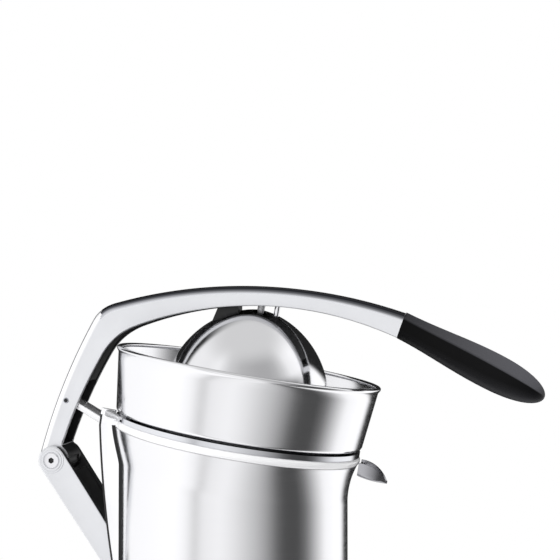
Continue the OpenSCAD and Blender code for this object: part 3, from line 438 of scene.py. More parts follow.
def flat_shape(outline, width, middle=0.0):
    """Extrudes a side view outline of (x, z) points across a width."""
    bm = bmesh.new()
    face = bm.faces.new([bm.verts.new((p[0], middle - width / 2, p[1])) for p in outline])
    grown = bmesh.ops.extrude_face_region(bm, geom=[face])["geom"]
    bmesh.ops.translate(bm, verts=[v for v in grown if isinstance(v, bmesh.types.BMVert)], vec=(0, width, 0))
    bmesh.ops.recalc_face_normals(bm, faces=bm.faces)
    return bm


def block_shape(size, middle):
    """A box of a given size about its middle."""
    bm = bmesh.new()
    bmesh.ops.create_cube(bm, size=1.0)
    bmesh.ops.scale(bm, verts=bm.verts, vec=size)
    bmesh.ops.translate(bm, verts=bm.verts, vec=middle)
    return bm


def paint(faces, number=1):
    """Gives faces one of their piece's finishes, by its number."""
    for face in faces:
        face.material_index = number


def soften(bm, edges, radius, segments=3):
    """Rounds edges and returns the new faces."""
    return bmesh.ops.bevel(bm, geom=list(edges), offset=radius, segments=segments, profile=0.5,
                           affect="EDGES", material=-1, clamp_overlap=True)["faces"]


# The cut faces keep their finish number only where both meshes hold the same slots, filled.
ARM_FINISHES = [cast_coat, black_abs, cast_painted_reflection, cast_painted_edge_reflection]


def cut(bm, cutter, cut_face_finish=0):
    """Cuts one bmesh out of another; the cut faces get the finish of the given number."""
    objects = []
    paint(cutter.faces, cut_face_finish)
    for shape in (bm, cutter):
        bmesh.ops.recalc_face_normals(shape, faces=shape.faces)
        mesh = bpy.data.meshes.new("blank")
        for finish in ARM_FINISHES:
            mesh.materials.append(finish)
        shape.to_mesh(mesh)
        shape.free()
        objects.append(add_object("blank", mesh))
    saw = objects[0].modifiers.new("saw", "BOOLEAN")
    saw.operation, saw.solver, saw.object = "DIFFERENCE", "EXACT", objects[1]
    result = bmesh.new()
    result.from_object(objects[0], bpy.context.evaluated_depsgraph_get())
    for blank in objects:
        bpy.data.objects.remove(blank)
    return result


# %% [markdown]
# ## The bowl ring
# The ring is a band of sheet steel: its rim is rolled outwards into a lip, and its lower edge is turned
# in. One open profile, spun round the spindle's axis, gives the outside, the roll and the inner wall.

# %% Bowl ring
RIM_RADIUS, RING_HEIGHT, RING_TAPER, RING_WALL = 90.0, 43.0, 5.4, 1.2
LIP, LIP_SET_IN, ROLL, TURNED_IN, PROUD = 1.5, 0.4, 3.2, 6.0, 0.02
RING_FOOT = -RING_HEIGHT - RING_WALL
ring_inside = RIM_RADIUS - RING_TAPER - RING_WALL


def ring_at(z):
    """The ring's outer radius at a height; the rim lies at height 0."""
    return RIM_RADIUS + z * RING_TAPER / RING_HEIGHT


def circle_points(middle, radius, start, end, steps):
    """Points of an arc about a middle, between two angles in degrees."""
    angles = [radians(start + (end - start) * i / steps) for i in range(steps + 1)]
    return [(middle[0] + radius * cos(a), middle[1] + radius * sin(a)) for a in angles]


ring_profile = [(ring_inside - TURNED_IN, RING_FOOT), (ring_at(RING_FOOT) - ROLL, RING_FOOT)]
ring_profile += circle_points((ring_at(RING_FOOT + ROLL) - ROLL, RING_FOOT + ROLL), ROLL, -80, -2, 10)
ring_profile += [(ring_at(z) + PROUD, z) for z in (-38, -32, -24, -16, -8, -4)]
ring_profile += circle_points((ring_at(-LIP) - LIP_SET_IN, -LIP), LIP, -50, 240, 24)
ring_profile += [(ring_at(-5) - RING_WALL, -5), (ring_inside - 1, RING_FOOT + ROLL),
                 (ring_inside - TURNED_IN, RING_WALL + RING_FOOT), (ring_inside - TURNED_IN, RING_FOOT)]
hand_over(turned_shape(ring_profile), "bowl_band", "base", [steel_leaning], ["bowl_ring"], LEANING)

# %% [markdown]
# ## The presser
# The presser is a deep-drawn dome, a little flatter on top than a ball. Its profile is a rounded curve
# with one exponent, turned about the same leaning axis, and a smaller curve gives its inner side.

# %% Presser dome
DOME_RADIUS, DOME_HEIGHT, DOME_TOP, DOME_WALL, DOME_SHIFT = 55.0, 55.0, 38.5, 1.2, 1.5


def crown(radius, rise, foot_z, power=1.8, steps=56):
    """A quarter of a rounded curve from the dome's foot to its top; a power of 2 would be an ellipse."""
    angles = [pi / 2 * i / steps for i in range(steps + 1)]
    return [(radius * max(0.0, cos(a)) ** (2 / power), foot_z + rise * sin(a) ** (2 / power))
            for a in angles]


dome_shift = Matrix.Translation((DOME_SHIFT, 0, 0))
dome_foot = DOME_TOP - DOME_HEIGHT
outer_wall = crown(DOME_RADIUS, DOME_HEIGHT, dome_foot)
inner_wall = crown(DOME_RADIUS - DOME_WALL, DOME_HEIGHT - DOME_WALL, dome_foot)
outer_wall[-1], inner_wall[-1] = (0.0, DOME_TOP), (0.0, DOME_TOP - DOME_WALL)
dome_shape = turned_shape(inner_wall[::-1] + outer_wall)
move(dome_shape, dome_shift)
hand_over(dome_shape, "presser_dome", "arm", [steel_domed], ["dome"], LEANING)

# %% [markdown]
# ## The body
# The body is one spun sheet: wide at the table, straight at the waist, and flared under the collar. The
# flare leans with the bowl while the waist stands upright, so its rings turn from level to leaning
# one after another, and bridging joins each pair of rings.

# %% Body shell
PAD_HEIGHT, WAIST_HEIGHT, WAIST_TOP, FOOT_RADIUS, WAIST_RADIUS = 3.0, 185.0, 205.0, 101.0, 76.7
COLLAR_LOW, COLLAR_RADIUS, BELL_HEIGHT, BELL_RADIUS, SHELL_WALL = -54.0, 84.8, 25.0, 83.5, 1.4
FOOT_CURVE, BELL_CURVE, WAIST_RINGS, BELL_RINGS = 2.3, 1.3, 24, 14


def waist_size(z):
    """The body's radius at a height above the table, from the wide foot to the straight waist."""
    lower = max(0.0, (WAIST_HEIGHT - z) / (WAIST_HEIGHT - PAD_HEIGHT))
    return WAIST_RADIUS + (FOOT_RADIUS - WAIST_RADIUS) * lower ** FOOT_CURVE


def waist_ring(bm, z, inset):
    """A level ring of the body."""
    ring = bmesh.ops.create_circle(bm, segments=ROUND_STEPS, radius=waist_size(z) - inset)["verts"]
    bmesh.ops.translate(bm, verts=ring, vec=(0, 0, z))
    return ring


def bell_size(t):
    """Level, centre, long and cross radius of the flare, t from 0 at its foot to 1 under the collar."""
    level, spread = COLLAR_LOW + (t - 1) * BELL_HEIGHT, t ** BELL_CURVE
    centre = -(rim.x + level * sin(lean)) / cos(lean) * (1 - spread)
    long_radius = WAIST_RADIUS / cos(lean) * (1 - spread) + BELL_RADIUS * spread
    return level, centre, long_radius, WAIST_RADIUS * (1 - spread) + BELL_RADIUS * spread


def bell_ring(bm, t, inset):
    """A ring of the flare; its plane leans like the bowl."""
    level, centre, long_radius, cross_radius = bell_size(t)
    ring = bmesh.ops.create_circle(bm, segments=ROUND_STEPS, radius=1.0)["verts"]
    bmesh.ops.scale(bm, verts=ring, vec=(long_radius - inset, cross_radius - inset, 1))
    bmesh.ops.translate(bm, verts=ring, vec=(centre, 0, level))
    bmesh.ops.transform(bm, matrix=LEANING, verts=ring)
    return ring


def body_rings(bm, inset):
    """All rings of one skin of the body, from the table up to the collar."""
    rings = [waist_ring(bm, PAD_HEIGHT + (WAIST_HEIGHT - PAD_HEIGHT) * i / WAIST_RINGS, inset)
             for i in range(WAIST_RINGS + 1)]
    rings.append(waist_ring(bm, WAIST_TOP, inset))
    return rings + [bell_ring(bm, i / BELL_RINGS, inset) for i in range(BELL_RINGS + 1)]


def bridge(bm, rings):
    """Joins each ring to the next one by a band of quads."""
    for low, high in zip(rings, rings[1:]):
        edges = [e for ring in (low, high) for v in ring for e in v.link_edges if e.other_vert(v) in ring]
        bmesh.ops.bridge_loops(bm, edges=list(dict.fromkeys(edges)))


body_shape = bmesh.new()
bridge(body_shape, body_rings(body_shape, 0.0) + body_rings(body_shape, SHELL_WALL)[::-1])
bmesh.ops.bridge_loops(body_shape, edges=[e for e in body_shape.edges if len(e.link_faces) == 1])

# %% Well for the spine and notch for the pin's clips
SPINE_OUT, WELL_FLOOR, WELL_DEPTH, WELL_HEIGHT, WELL_GAP = 23.8, -51.3, 80.0, 300.0, 0.2
NOTCH_DEPTH, NOTCH_WIDTH, NOTCH_HEIGHT, NOTCH_REACH = 40.0, 52.6, 11.0, 5.5
slot_low = foot.y - 18.4


def rear_well():
    """The block that is cut out behind the body and the collar for the spine."""
    return block_shape((WELL_DEPTH, 2 * (SPINE_OUT + WELL_GAP), WELL_HEIGHT),
                       (WELL_FLOOR - WELL_DEPTH / 2, 0, slot_low + WELL_HEIGHT / 2))


clip_notch = block_shape((NOTCH_DEPTH, NOTCH_WIDTH, NOTCH_HEIGHT),
                         (foot.x + NOTCH_REACH - NOTCH_DEPTH / 2, 0, foot.y))
body_shape = cut(cut(body_shape, rear_well()), clip_notch)
hand_over(body_shape, "body_sheet", "base", [steel_upright], ["body_shell"])

# %% [markdown]
# ## The arm
# The arm is a die-cast channel: thick at the elbow, open on its inner side, with generous rounds along
# its back. It starts as a side view, is extruded to its width, rounded along the back, and then the
# channel is milled out of it, which leaves the thin bright lips on both sides.

# %% Arm
ARM_WIDTH, ARM_WALL, ARM_RISE, ARM_THICK = 27.0, 3.2, 54.0, 13.5
JOINT_OUT, JOINT_UP, JOINT_LEAN, JOINT_THICK = 103.9, 27.3, radians(20), 17.0
ELBOW_OUT, ELBOW_UP, ELBOW_ROUND, BACK_BOW, BACK_ROUND = 13.0, 39.4, 6.0, -3.8, 5.4
BEND_OUT, BEND_UP, BEND_ROUND, BELLY_BOW, BELLY_ROUND = 2.5, 20.5, 11.0, -2.66, 0.8
HUB_RADIUS, HUB_SHADE = 10.5, 12.5
joint = Vector((rim.x + JOINT_OUT, rim.z + JOINT_UP))
joint_up = Vector((sin(JOINT_LEAN), cos(JOINT_LEAN)))
joint_top, joint_low = joint + joint_up * JOINT_THICK / 2, joint - joint_up * JOINT_THICK / 2
elbow_out = Vector((rim.x - RIM_RADIUS - ELBOW_OUT, rim.z + ELBOW_UP))
elbow_in = Vector((rim.x - RIM_RADIUS - BEND_OUT, rim.z + BEND_UP))


def heading(angle):
    """The unit step in a direction of the side view, given in degrees."""
    return Vector((cos(radians(angle)), sin(radians(angle))))


hub_out, hub_in = hinge + 11.8 * heading(168), hinge + 11 * heading(62)
rise_out = (joint_top.y + elbow_out.y) / 2 - rim.z - ARM_RISE
rise_in = (joint_low.y + elbow_in.y) / 2 - rim.z - ARM_RISE + ARM_THICK
back = round_corner(bow(joint_top, elbow_out, rise_out, 40), elbow_out,
                    bow(elbow_out, hub_out, BACK_BOW), ELBOW_ROUND)
belly = round_corner(bow(joint_low, elbow_in, rise_in, 40), elbow_in,
                     bow(elbow_in, hub_in, BELLY_BOW), BEND_ROUND)
hub_round = [hinge + HUB_RADIUS * heading(a) for a in range(219, 411, 8)]
arm_shape = flat_shape(back + hub_round + belly[::-1], ARM_WIDTH)


def on_side(edge):
    """True for an edge that lies in one side face instead of running across."""
    return edge.verts[0].co.y * edge.verts[1].co.y > 0


def side_edges(bm, line):
    """The edges of both side faces that follow a line of points."""
    spots = {(round(p.x, 3), round(p.y, 3)) for p in line}
    return [e for e in bm.edges if abs(e.verts[0].co.y - e.verts[1].co.y) < 0.01
            and all((round(v.co.x, 3), round(v.co.z, 3)) in spots for v in e.verts)]


def from_pin(face, pin):
    """How far a face's middle lies from a pin in the side view."""
    spot = face.calc_center_median()
    return (Vector((spot.x, spot.z)) - pin).length


soften(arm_shape, side_edges(arm_shape, belly), BELLY_ROUND)
back_edges = side_edges(arm_shape, back)
# Past the elbow, the back's rounds take the painted dark reflection; before it, they take the painted
# highlight with its dark outline.
for face in soften(arm_shape, back_edges, BACK_ROUND, 9):
    face.material_index = 2 if face.calc_center_median().x > elbow_out.x + 1.5 else 3
# Round the hub, the faces that run across the arm are painted black: painted shade between the strut's
# cheeks.
paint(f for f in arm_shape.faces if abs(f.normal.y) < 0.1 and from_pin(f, hinge) < HUB_SHADE)
print("rounded back edges:", len(back_edges))

# %% Milling the channel
SOLID_END, ROOF_CLEAR, MOUTH_CLEAR, MOUTH_REACH = 14.0, 13.0, 12.0, 4.0
channel_width = ARM_WIDTH - 2 * ARM_WALL
block = joint - SOLID_END * Vector((cos(JOINT_LEAN), -sin(JOINT_LEAN)))
roof = [p for p in offset_line(back, ARM_WALL) if p.x < block.x and (p - hinge).length > ROOF_CLEAR]
mouth = [p for p in offset_line(belly, MOUTH_REACH) if p.x < block.x and (p - hinge).length > MOUTH_CLEAR]
channel = flat_shape(roof + mouth[::-1], channel_width)
arm_shape = cut(arm_shape, channel, cut_face_finish=1)

# %% Pocket for the folded link
LINK_WIDTH, LINK_THICK, LINK_EYE, LINK_PIN, POCKET_GAP = 19.0, 4.2, 3.8, 2.0, 0.6
SLOT_IN, SLOT_DOWN = 4.0, 5.6


def leaning_point(x, z):
    """A point of the side view that is given in the leaning frame."""
    spot = LEANING @ Vector((x, 0, z))
    return Vector((spot.x, spot.z))


slot_point = leaning_point(SLOT_IN - COLLAR_RADIUS, COLLAR_LOW - SLOT_DOWN)
fold = Matrix.Rotation(radians(joints["link_turn"]["range_deg"][0]), 2)
folded_eye = link_top + fold @ (slot_point - link_top)
pocket_line = [folded_eye + (LINK_EYE + POCKET_GAP) * heading(a) for a in range(0, 360, 10)]
arm_shape = cut(arm_shape, flat_shape(pocket_line, channel_width), cut_face_finish=1)
hand_over(arm_shape, "arm_casting", "arm", ARM_FINISHES, ["arm"], sharp=28)

# %% Dome saddle
SADDLE_WIDTH, SADDLE_LEFT, SADDLE_BEND, SADDLE_RIGHT = 15.0, -16.5, -10.5, 3.5
SADDLE_FOOT, SADDLE_SHOULDER, SADDLE_SET_IN = 20.0, 26.0, 0.6
saddle_side = [(SADDLE_LEFT, rim.z + SADDLE_FOOT), (SADDLE_LEFT, rim.z + SADDLE_SHOULDER)]
saddle_side += [(x, height_at(belly, x) + SADDLE_SET_IN) for x in (SADDLE_BEND, -7, -3, 0, SADDLE_RIGHT)]
saddle_side += [(SADDLE_RIGHT, rim.z + SADDLE_FOOT)]
dome_block = turned_shape(outer_wall + [(0.0, dome_foot)])
move(dome_block, dome_shift)
move(dome_block, LEANING)
bmesh.ops.remove_doubles(dome_block, verts=dome_block.verts, dist=0.0005)
saddle_shape = cut(flat_shape(saddle_side, SADDLE_WIDTH), dome_block)
hand_over(saddle_shape, "rubber_saddle", "arm", [black_abs], ["dome_saddle"])

# %% [markdown]
# ## The grip
# The grip is one soft-touch moulding. Its section swells from the joint to the palm and closes in a round
# nose: the lower half is nearly oval, the upper half squarer, so that a ridge runs along each shoulder.

# %% Grip
GRIP_LENGTH, GRIP_WIDTH, GRIP_THICK, GRIP_LEAN = 105.0, 34.0, 25.0, radians(27)
WIDEST, NOSE_CURVE, OVAL, TURN_END, SLEEVE, RIDGE, RIDGE_DROP = 0.62, 2.3, 2.4, 0.3, 0.8, 0.56, 0.3
GRIP_SEGMENTS, GRIP_RINGS = 72, 64


def swell(u, start, most):
    """A size along the grip, u from 0 at the joint to 1 at the nose: it grows to the palm and closes."""
    if u < WIDEST:
        return start + (most - start) * (1 - cos(pi * u / WIDEST)) / 2
    return most * max(0.0, 1 - ((u - WIDEST) / (1 - WIDEST)) ** NOSE_CURVE) ** 0.5


def palm_section(width, thick, ridge):
    """A ring of points: nearly oval below, a flat roof above a ridge on each side."""
    shoulder = [(1.0, 0.0), (1.0, ridge * 0.5), (0.985, ridge * 0.86), (0.93, ridge * 1.12),
                (0.5, 0.5 + ridge * 0.56), (0.0, 1.0)]
    ring = []
    for i in range(GRIP_SEGMENTS):
        a = tau * i / GRIP_SEGMENTS
        c, s = cos(a), sin(a)
        if s > 0:
            place = asin(s) / (pi / 2) * (len(shoulder) - 1)
            step = min(int(place), len(shoulder) - 2)
            near, far = shoulder[step], shoulder[step + 1]
            x, z = (near[j] + (far[j] - near[j]) * (place - step) for j in (0, 1))
        else:
            x, z = abs(c) ** (2 / OVAL), -abs(s) ** (2 / OVAL)
        ring.append((copysign(x, c) * width / 2, z * thick / 2))
    return ring


def skin(bm, rings, closed=True):
    """Joins rings of points by quads and, where the rings are closed, caps both ends."""
    loops = [[bm.verts.new(p) for p in ring] for ring in rings]
    for low, high in zip(loops, loops[1:]):
        count = len(low) if closed else len(low) - 1
        for i in range(count):
            j = (i + 1) % len(low)
            bm.faces.new((low[i], low[j], high[j], high[i]))
    if closed:
        bm.faces.new(loops[0][::-1])
        bm.faces.new(loops[-1])


grip_rings = []
for i in range(GRIP_RINGS + 1):
    u = 0.999 * sin(pi / 2 * i / GRIP_RINGS)
    tilt = (GRIP_LEAN - JOINT_LEAN) * max(0.0, 1 - u / TURN_END)
    width, thick = swell(u, ARM_WIDTH + 1, GRIP_WIDTH), swell(u, JOINT_THICK + 2 * SLEEVE, GRIP_THICK)
    grip_rings.append([(u * GRIP_LENGTH - z * sin(tilt), y, z * cos(tilt))
                       for y, z in palm_section(width, thick, RIDGE - RIDGE_DROP * u)])
grip_shape = bmesh.new()
skin(grip_shape, grip_rings)
soften(grip_shape, [e for e in grip_shape.edges if e.calc_face_angle(0) > 1.0], 0.8)
grip_place = Matrix.Translation((joint.x, 0, joint.y)) @ Matrix.Rotation(GRIP_LEAN, 4, "Y")
hand_over(grip_shape, "palm_grip", "arm", [soft_black_painted_shading], ["grip"], grip_place, sharp=40)

# %% [markdown]
# ## Strut, hinge and link
# Two cheeks with round ends carry the arm on the strut. The hinge shows as a turned cap with a ring
# groove and a socket screw in its middle. The link is a slim bar with an eye at each end.

# %% Strut
STRUT_INNER, STRUT_WALL, HEAD_RADIUS, STRUT_HALF, WEB_THICK, WEB_SET_IN = 14.0, 4.8, 9.6, 8.4, 2.85, 0.15
STRUT_OUT = STRUT_INNER + STRUT_WALL
strut_along = (foot - hinge).normalized()
strut_across = Vector((-strut_along.y, strut_along.x))


def strut_point(s, t):
    """A point of the side view, s along the strut from the hinge and t across it."""
    return hinge + s * strut_along + t * strut_across


def add_shape(bm, other):
    """Adds a finished bmesh to another one."""
    mesh = bpy.data.meshes.new("part")
    other.to_mesh(mesh)
    other.free()
    bm.from_mesh(mesh)
    bpy.data.meshes.remove(mesh)


def across_arm(profile, point, side, steps=96):
    """Turns a line of (radius, distance) points about a pin across the arm, outwards on one side."""
    bm = turned_shape(profile, steps)
    move(bm, Matrix.Translation((point.x, 0, point.y)) @ Matrix.Rotation(radians(-90 * side), 4, "X"))
    return bm


cheek_line = [hinge + HEAD_RADIUS * heading(a) for a in range(34, 215, 9)]
cheek_line += [foot + STRUT_HALF * heading(a) for a in range(214, 395, 9)]
cap_steps = [(5.4, -1.0), (5.4, 0.1), (5.8, 0.45), (7.0, 0.45), (7.4, 0.1), (7.6, 0.1), (8.1, 0.35),
             (8.5, 0.35), (8.9, -0.1), (8.9, -1.0)]
cap_profile = [(radius, STRUT_OUT + step) for radius, step in cap_steps]
strut_shape = bmesh.new()
for side in (-1, 1):
    cheek = flat_shape(cheek_line, STRUT_WALL, side * (STRUT_INNER + STRUT_WALL / 2))
    soften(cheek, [e for e in cheek.edges if on_side(e) and e.calc_face_angle(0) > 1.0], 0.9, 4)
    add_shape(strut_shape, cheek)
    add_shape(strut_shape, across_arm(cap_profile, hinge, side))
web_start, web_end = HEAD_RADIUS + 7.4, (foot - hinge).length - 2 * STRUT_HALF - 1.2
web_back = WEB_SET_IN - STRUT_HALF
web = [strut_point(web_start, web_back + WEB_THICK), strut_point(web_end, web_back + WEB_THICK),
       strut_point(web_end, web_back), strut_point(web_start, web_back)]
add_shape(strut_shape, flat_shape(web, 2 * STRUT_INNER + 2))
upwards = Vector((strut_across.x, 0, strut_across.y))
# The web is the black cover. The cheeks' inner faces and their edges on the open side are painted black:
# painted shade inside the channel.
for face in strut_shape.faces:
    side = face.calc_center_median().y
    if face.normal.y * side < -0.5 * abs(side) or abs(side) < STRUT_INNER or face.normal.dot(upwards) > 0.8:
        face.material_index = 1
hand_over(strut_shape, "folding_strut", "strut", [cast_coat, black_abs], ["strut"], sharp=40)

# %% Hinge screws
SCREW_HEAD, HEAD_DEPTH, SHANK, SOCKET, SOCKET_FLOOR, KEY_LENGTH = 5.1, 0.9, 2.0, 2.1, 0.15, 3.4
head_top = STRUT_OUT + HEAD_DEPTH
screw_profile = [(0.0, STRUT_OUT - 3), (SHANK, STRUT_OUT - 3), (SHANK, STRUT_OUT), (SCREW_HEAD, STRUT_OUT),
                 (SCREW_HEAD, head_top - 0.35), (SCREW_HEAD - 0.3, head_top - 0.05),
                 (SCREW_HEAD - 0.8, head_top), (0.0, head_top)]
screws_shape = bmesh.new()
# The hexagon cuts a socket in each screw head. The socket's walls and floor take the black finish as painted
# shade in the recess.
for side in (-1, 1):
    head = across_arm(screw_profile, hinge, side)
    hexagon = bmesh.new()
    bmesh.ops.create_cone(hexagon, cap_ends=True, segments=6, radius1=SOCKET, radius2=SOCKET,
                          depth=KEY_LENGTH)
    key_place = (hinge.x, side * (STRUT_OUT + SOCKET_FLOOR + KEY_LENGTH / 2), hinge.y)
    move(hexagon, Matrix.Translation(key_place) @ Matrix.Rotation(radians(90), 4, "X"))
    add_shape(screws_shape, cut(head, hexagon, cut_face_finish=1))
hand_over(screws_shape, "socket_screws", "strut", [bright_pin, black_abs], ["hinge_screws"], sharp=30)

# %% Link and its rivet
EYE_STEPS, RIVET_RECESS = 24, 1.15
link_way = slot_point - link_top
link_angle = degrees(atan2(link_way.y, link_way.x))
bite = degrees(asin(LINK_THICK / 2 / LINK_EYE))
link_line = []
for eye, start in ((link_top, link_angle + bite), (slot_point, link_angle + 180 + bite)):
    link_line += [eye + LINK_EYE * heading(start + (360 - 2 * bite) * i / EYE_STEPS)
                  for i in range(EYE_STEPS + 1)]
link_shape = flat_shape(link_line, LINK_WIDTH)
soften(link_shape, [e for e in link_shape.edges if on_side(e)], 0.7, 4)
hand_over(link_shape, "link_bar_rounded", "link", [cast_gloss], ["link_bar"], sharp=35)
half = ARM_WIDTH / 2
rivet_steps = [(LINK_PIN, 0.05), (LINK_PIN - 0.25, 0.35), (1.4, 0.45), (1.25, 0.2), (0.6, 0.15), (0.0, 0.15)]
rivet_profile = [(LINK_PIN, 0.0)] + [(radius, half + step) for radius, step in rivet_steps]
rivet_shape = bmesh.new()
for side in (-1, 1):
    add_shape(rivet_shape, across_arm(rivet_profile, link_top, side, 48))
# The recess in the middle of each rivet end is painted black: painted shade.
paint(f for f in rivet_shape.faces
      if abs(f.calc_center_median().y) > half + 0.1 and from_pin(f, link_top) < RIVET_RECESS)
hand_over(rivet_shape, "link_rivet", "arm", [zinc_plate, black_abs], ["link_pin"], sharp=30)

# %% [markdown]
# ## Spine and collar
# The spine is cast: two cheeks and a front plate that stand behind the body, topped by a knuckle whose
# claws reach round under the bowl and taper to a tip. The collar is a rounded white band below the deck.

# %% Spine
CHEEK, SPINE_INNER, DECK_RADIUS, DECK_LOW, KNUCKLE_TOP = 4.0, 19.8, 83.9, -48.6, -44.2
CLAW_REACH, CLAW_STEPS, CLAW_POINTS, REAR_ROUND, DARK_START = 34.0, 20, 24, 1.9, 7.0
spine_top = leaning_point(-RIM_RADIUS - 4, KNUCKLE_TOP)
spine_foot = Vector((3 - WAIST_RADIUS, slot_low))
spine_front = WELL_FLOOR - 0.2
inside = DECK_RADIUS - 2.0
rear_line = [leaning_point(-RIM_RADIUS - 1.4, KNUCKLE_TOP), spine_top + Vector((1.4, -4.4))]
rear_line += [p for p in bow(spine_top, spine_foot, -3.5, 24) if p.y < spine_top.y - 8]
plate_top = leaning_point(spine_front - rim.x + 8, DECK_LOW - 0.3)
cheek_side = rear_line + [(spine_front, slot_low), plate_top, leaning_point(-inside, DECK_LOW - 0.3),
                          leaning_point(-inside, KNUCKLE_TOP)]
spine_shape = bmesh.new()
# Below the knuckle, the rear rounds of each cheek take the black rubber finish as painted shade on the
# spine's edge.
for side in (-1, 1):
    cheek = flat_shape(cheek_side, CHEEK, side * (SPINE_INNER + CHEEK / 2))
    rounds = soften(cheek, side_edges(cheek, rear_line), REAR_ROUND, 5)
    paint(f for f in rounds if f.calc_center_median().z < spine_top.y - DARK_START)
    add_shape(spine_shape, cheek)
front_line = [(spine_front - CHEEK, slot_low), (spine_front, slot_low), (spine_front, plate_top.y),
              (spine_front - CHEEK, plate_top.y)]
add_shape(spine_shape, flat_shape(front_line, 2 * SPINE_INNER + 1))
sill = [spine_foot + Vector((0.6, 0.1)), Vector((spine_front - 0.2, slot_low + 0.1)),
        Vector((spine_front - 0.2, slot_low + CHEEK)), spine_foot + Vector((0.6, CHEEK))]
add_shape(spine_shape, flat_shape(sill, 2 * SPINE_INNER + 1))


def claw_ring(angle, u):
    """A rounded section of a claw, thick at the knuckle (u = 0) and thin at its tip (u = 1)."""
    low = DECK_LOW - 1.4 + 3.6 * u ** 1.6
    high = KNUCKLE_TOP - 0.5 * u
    near, far = DECK_RADIUS + 0.3, DECK_RADIUS + 3.1 + 6.5 * (1 - u) ** 2.4
    ring = []
    for i in range(CLAW_POINTS):
        a = tau * i / CLAW_POINTS
        c, s = cos(a), sin(a)
        radius = (near + far) / 2 + copysign(abs(c) ** 0.6, c) * (far - near) / 2
        height = (low + high) / 2 + copysign(abs(s) ** 0.6, s) * (high - low) / 2
        ring.append((radius * cos(angle), radius * sin(angle), height))
    return ring


claw_start = degrees(asin((SPINE_INNER + 0.8) / (DECK_RADIUS + 6)))
for side in (-1, 1):
    turns = [claw_start + (CLAW_REACH - claw_start) * i / CLAW_STEPS for i in range(CLAW_STEPS + 1)]
    claw = bmesh.new()
    skin(claw, [claw_ring(radians(180 + side * turn), i / CLAW_STEPS) for i, turn in enumerate(turns)])
    move(claw, LEANING)
    add_shape(spine_shape, claw)

# %% Painted shade strip between spine and body
# A thin black strip with the rubber finish runs along each side of the well: painted shade in the gap
# between spine and body.
SHADE_STRIP_DEPTH, SHADE_STRIP_THICK, SHADE_STRIP_SET_IN = 2.4, 0.5, 0.05
shade_strip_line = [Vector((-sqrt(waist_size(z) ** 2 - SPINE_OUT ** 2), z))
             for z in range(int(slot_low) + 1, int(WAIST_TOP), 6)]
for i in range(BELL_RINGS + 1):
    level, centre, long_radius, cross_radius = bell_size(i / BELL_RINGS)
    side_reach = long_radius * sqrt(1 - (SPINE_OUT / cross_radius) ** 2)
    shade_strip_line.append(leaning_point(centre - side_reach, level))
shade_strip_side = [p - Vector((SHADE_STRIP_DEPTH, 0)) for p in shade_strip_line]
shade_strip_side += [p - Vector((SHADE_STRIP_SET_IN, 0)) for p in shade_strip_line[::-1]]
for side in (-1, 1):
    strip = flat_shape(shade_strip_side, SHADE_STRIP_THICK, side * (SPINE_OUT - SHADE_STRIP_SET_IN))
    paint(strip.faces)
    add_shape(spine_shape, strip)
# The spine's second finish, the rubber's black, carries its painted shade.
hand_over(spine_shape, "cast_spine", "base", [cast_gloss, base_rubber], ["spine_bracket"], sharp=40)

# %% Collar
COLLAR_EDGE, COLLAR_INNER = DECK_RADIUS - 1, DECK_RADIUS - 6
collar_line = bow((COLLAR_EDGE, DECK_LOW), (COLLAR_EDGE, COLLAR_LOW), COLLAR_RADIUS - COLLAR_EDGE, 16)
collar_shape = turned_shape([(COLLAR_INNER, DECK_LOW)] + [tuple(p) for p in collar_line]
                            + [(COLLAR_INNER, COLLAR_LOW), (COLLAR_INNER, DECK_LOW)])
move(collar_shape, LEANING)
hand_over(cut(collar_shape, rear_well()), "white_collar", "base", [white_abs], ["collar_ring"])

# %% [markdown]
# ## Chute and spout
# The chute behind the spout is kept, but cut off to make room for it. The spout is a small sheet trough.
# Each section across it is a flat floor with round corners and two walls, and the walls fall towards
# the tip in a full curve.

# %% Inner chute
CHUTE_SET_BACK, spout_root = 4.5, COLLAR_RADIUS + 0.4
chute_shape = bmesh.new()
chute_shape.from_mesh(frame["nodes"]["drain_chute"].data)
move(chute_shape, LEANING.inverted() @ Matrix.Scale(1 / MM, 4))
geometry = chute_shape.verts[:] + chute_shape.edges[:] + chute_shape.faces[:]
bmesh.ops.bisect_plane(chute_shape, geom=geometry, plane_co=(spout_root - CHUTE_SET_BACK, 0, 0),
                       plane_no=(1, 0, 0), clear_outer=True)
bmesh.ops.holes_fill(chute_shape, edges=[e for e in chute_shape.edges if len(e.link_faces) == 1], sides=0)
hand_over(chute_shape, "inner_chute", "base", [smoke_san], ["drain_chute"], LEANING)

# %% Spout
SPOUT_WIDTH, SPOUT_WALL, SPOUT_CORNER, SPOUT_REACH, SPOUT_DROP, SPOUT_RINGS = 22.0, 1.4, 3.0, 20.0, 9.6, 28
pivot_z = COLLAR_LOW + 1.4
spout_tip = Vector((spout_root + SPOUT_REACH, pivot_z - SPOUT_DROP))
floor_line = bow((spout_root, pivot_z - 7), spout_tip, -0.6, 20)
wall_top = bow((spout_tip.x, spout_tip.y + 0.8), (spout_root, pivot_z + 1.8), -3.2, 40)[::-1]
wall_plan = bow((spout_root, SPOUT_WIDTH / 2), (spout_tip.x, 3.0), 2.4, 40)
trough_rings = []
for i in range(SPOUT_RINGS + 1):
    x = spout_root + SPOUT_REACH * sin(pi / 2 * i / SPOUT_RINGS)
    reach, base, top = height_at(wall_plan, x), height_at(floor_line, x), height_at(wall_top, x)
    corner = min(SPOUT_CORNER, (top - base) * 0.6, reach * 0.6)
    bend = [(reach - corner + corner * sin(a), base + corner - corner * cos(a))
            for a in (radians(step) for step in range(0, 91, 15))]
    half_ring = [(0.0, base)] + bend + [(reach, max(top, base + corner + 0.05))]
    trough_rings.append([(x, -y, z) for y, z in half_ring[::-1]] + [(x, y, z) for y, z in half_ring[1:]])
spout_shape = bmesh.new()
skin(spout_shape, trough_rings, closed=False)
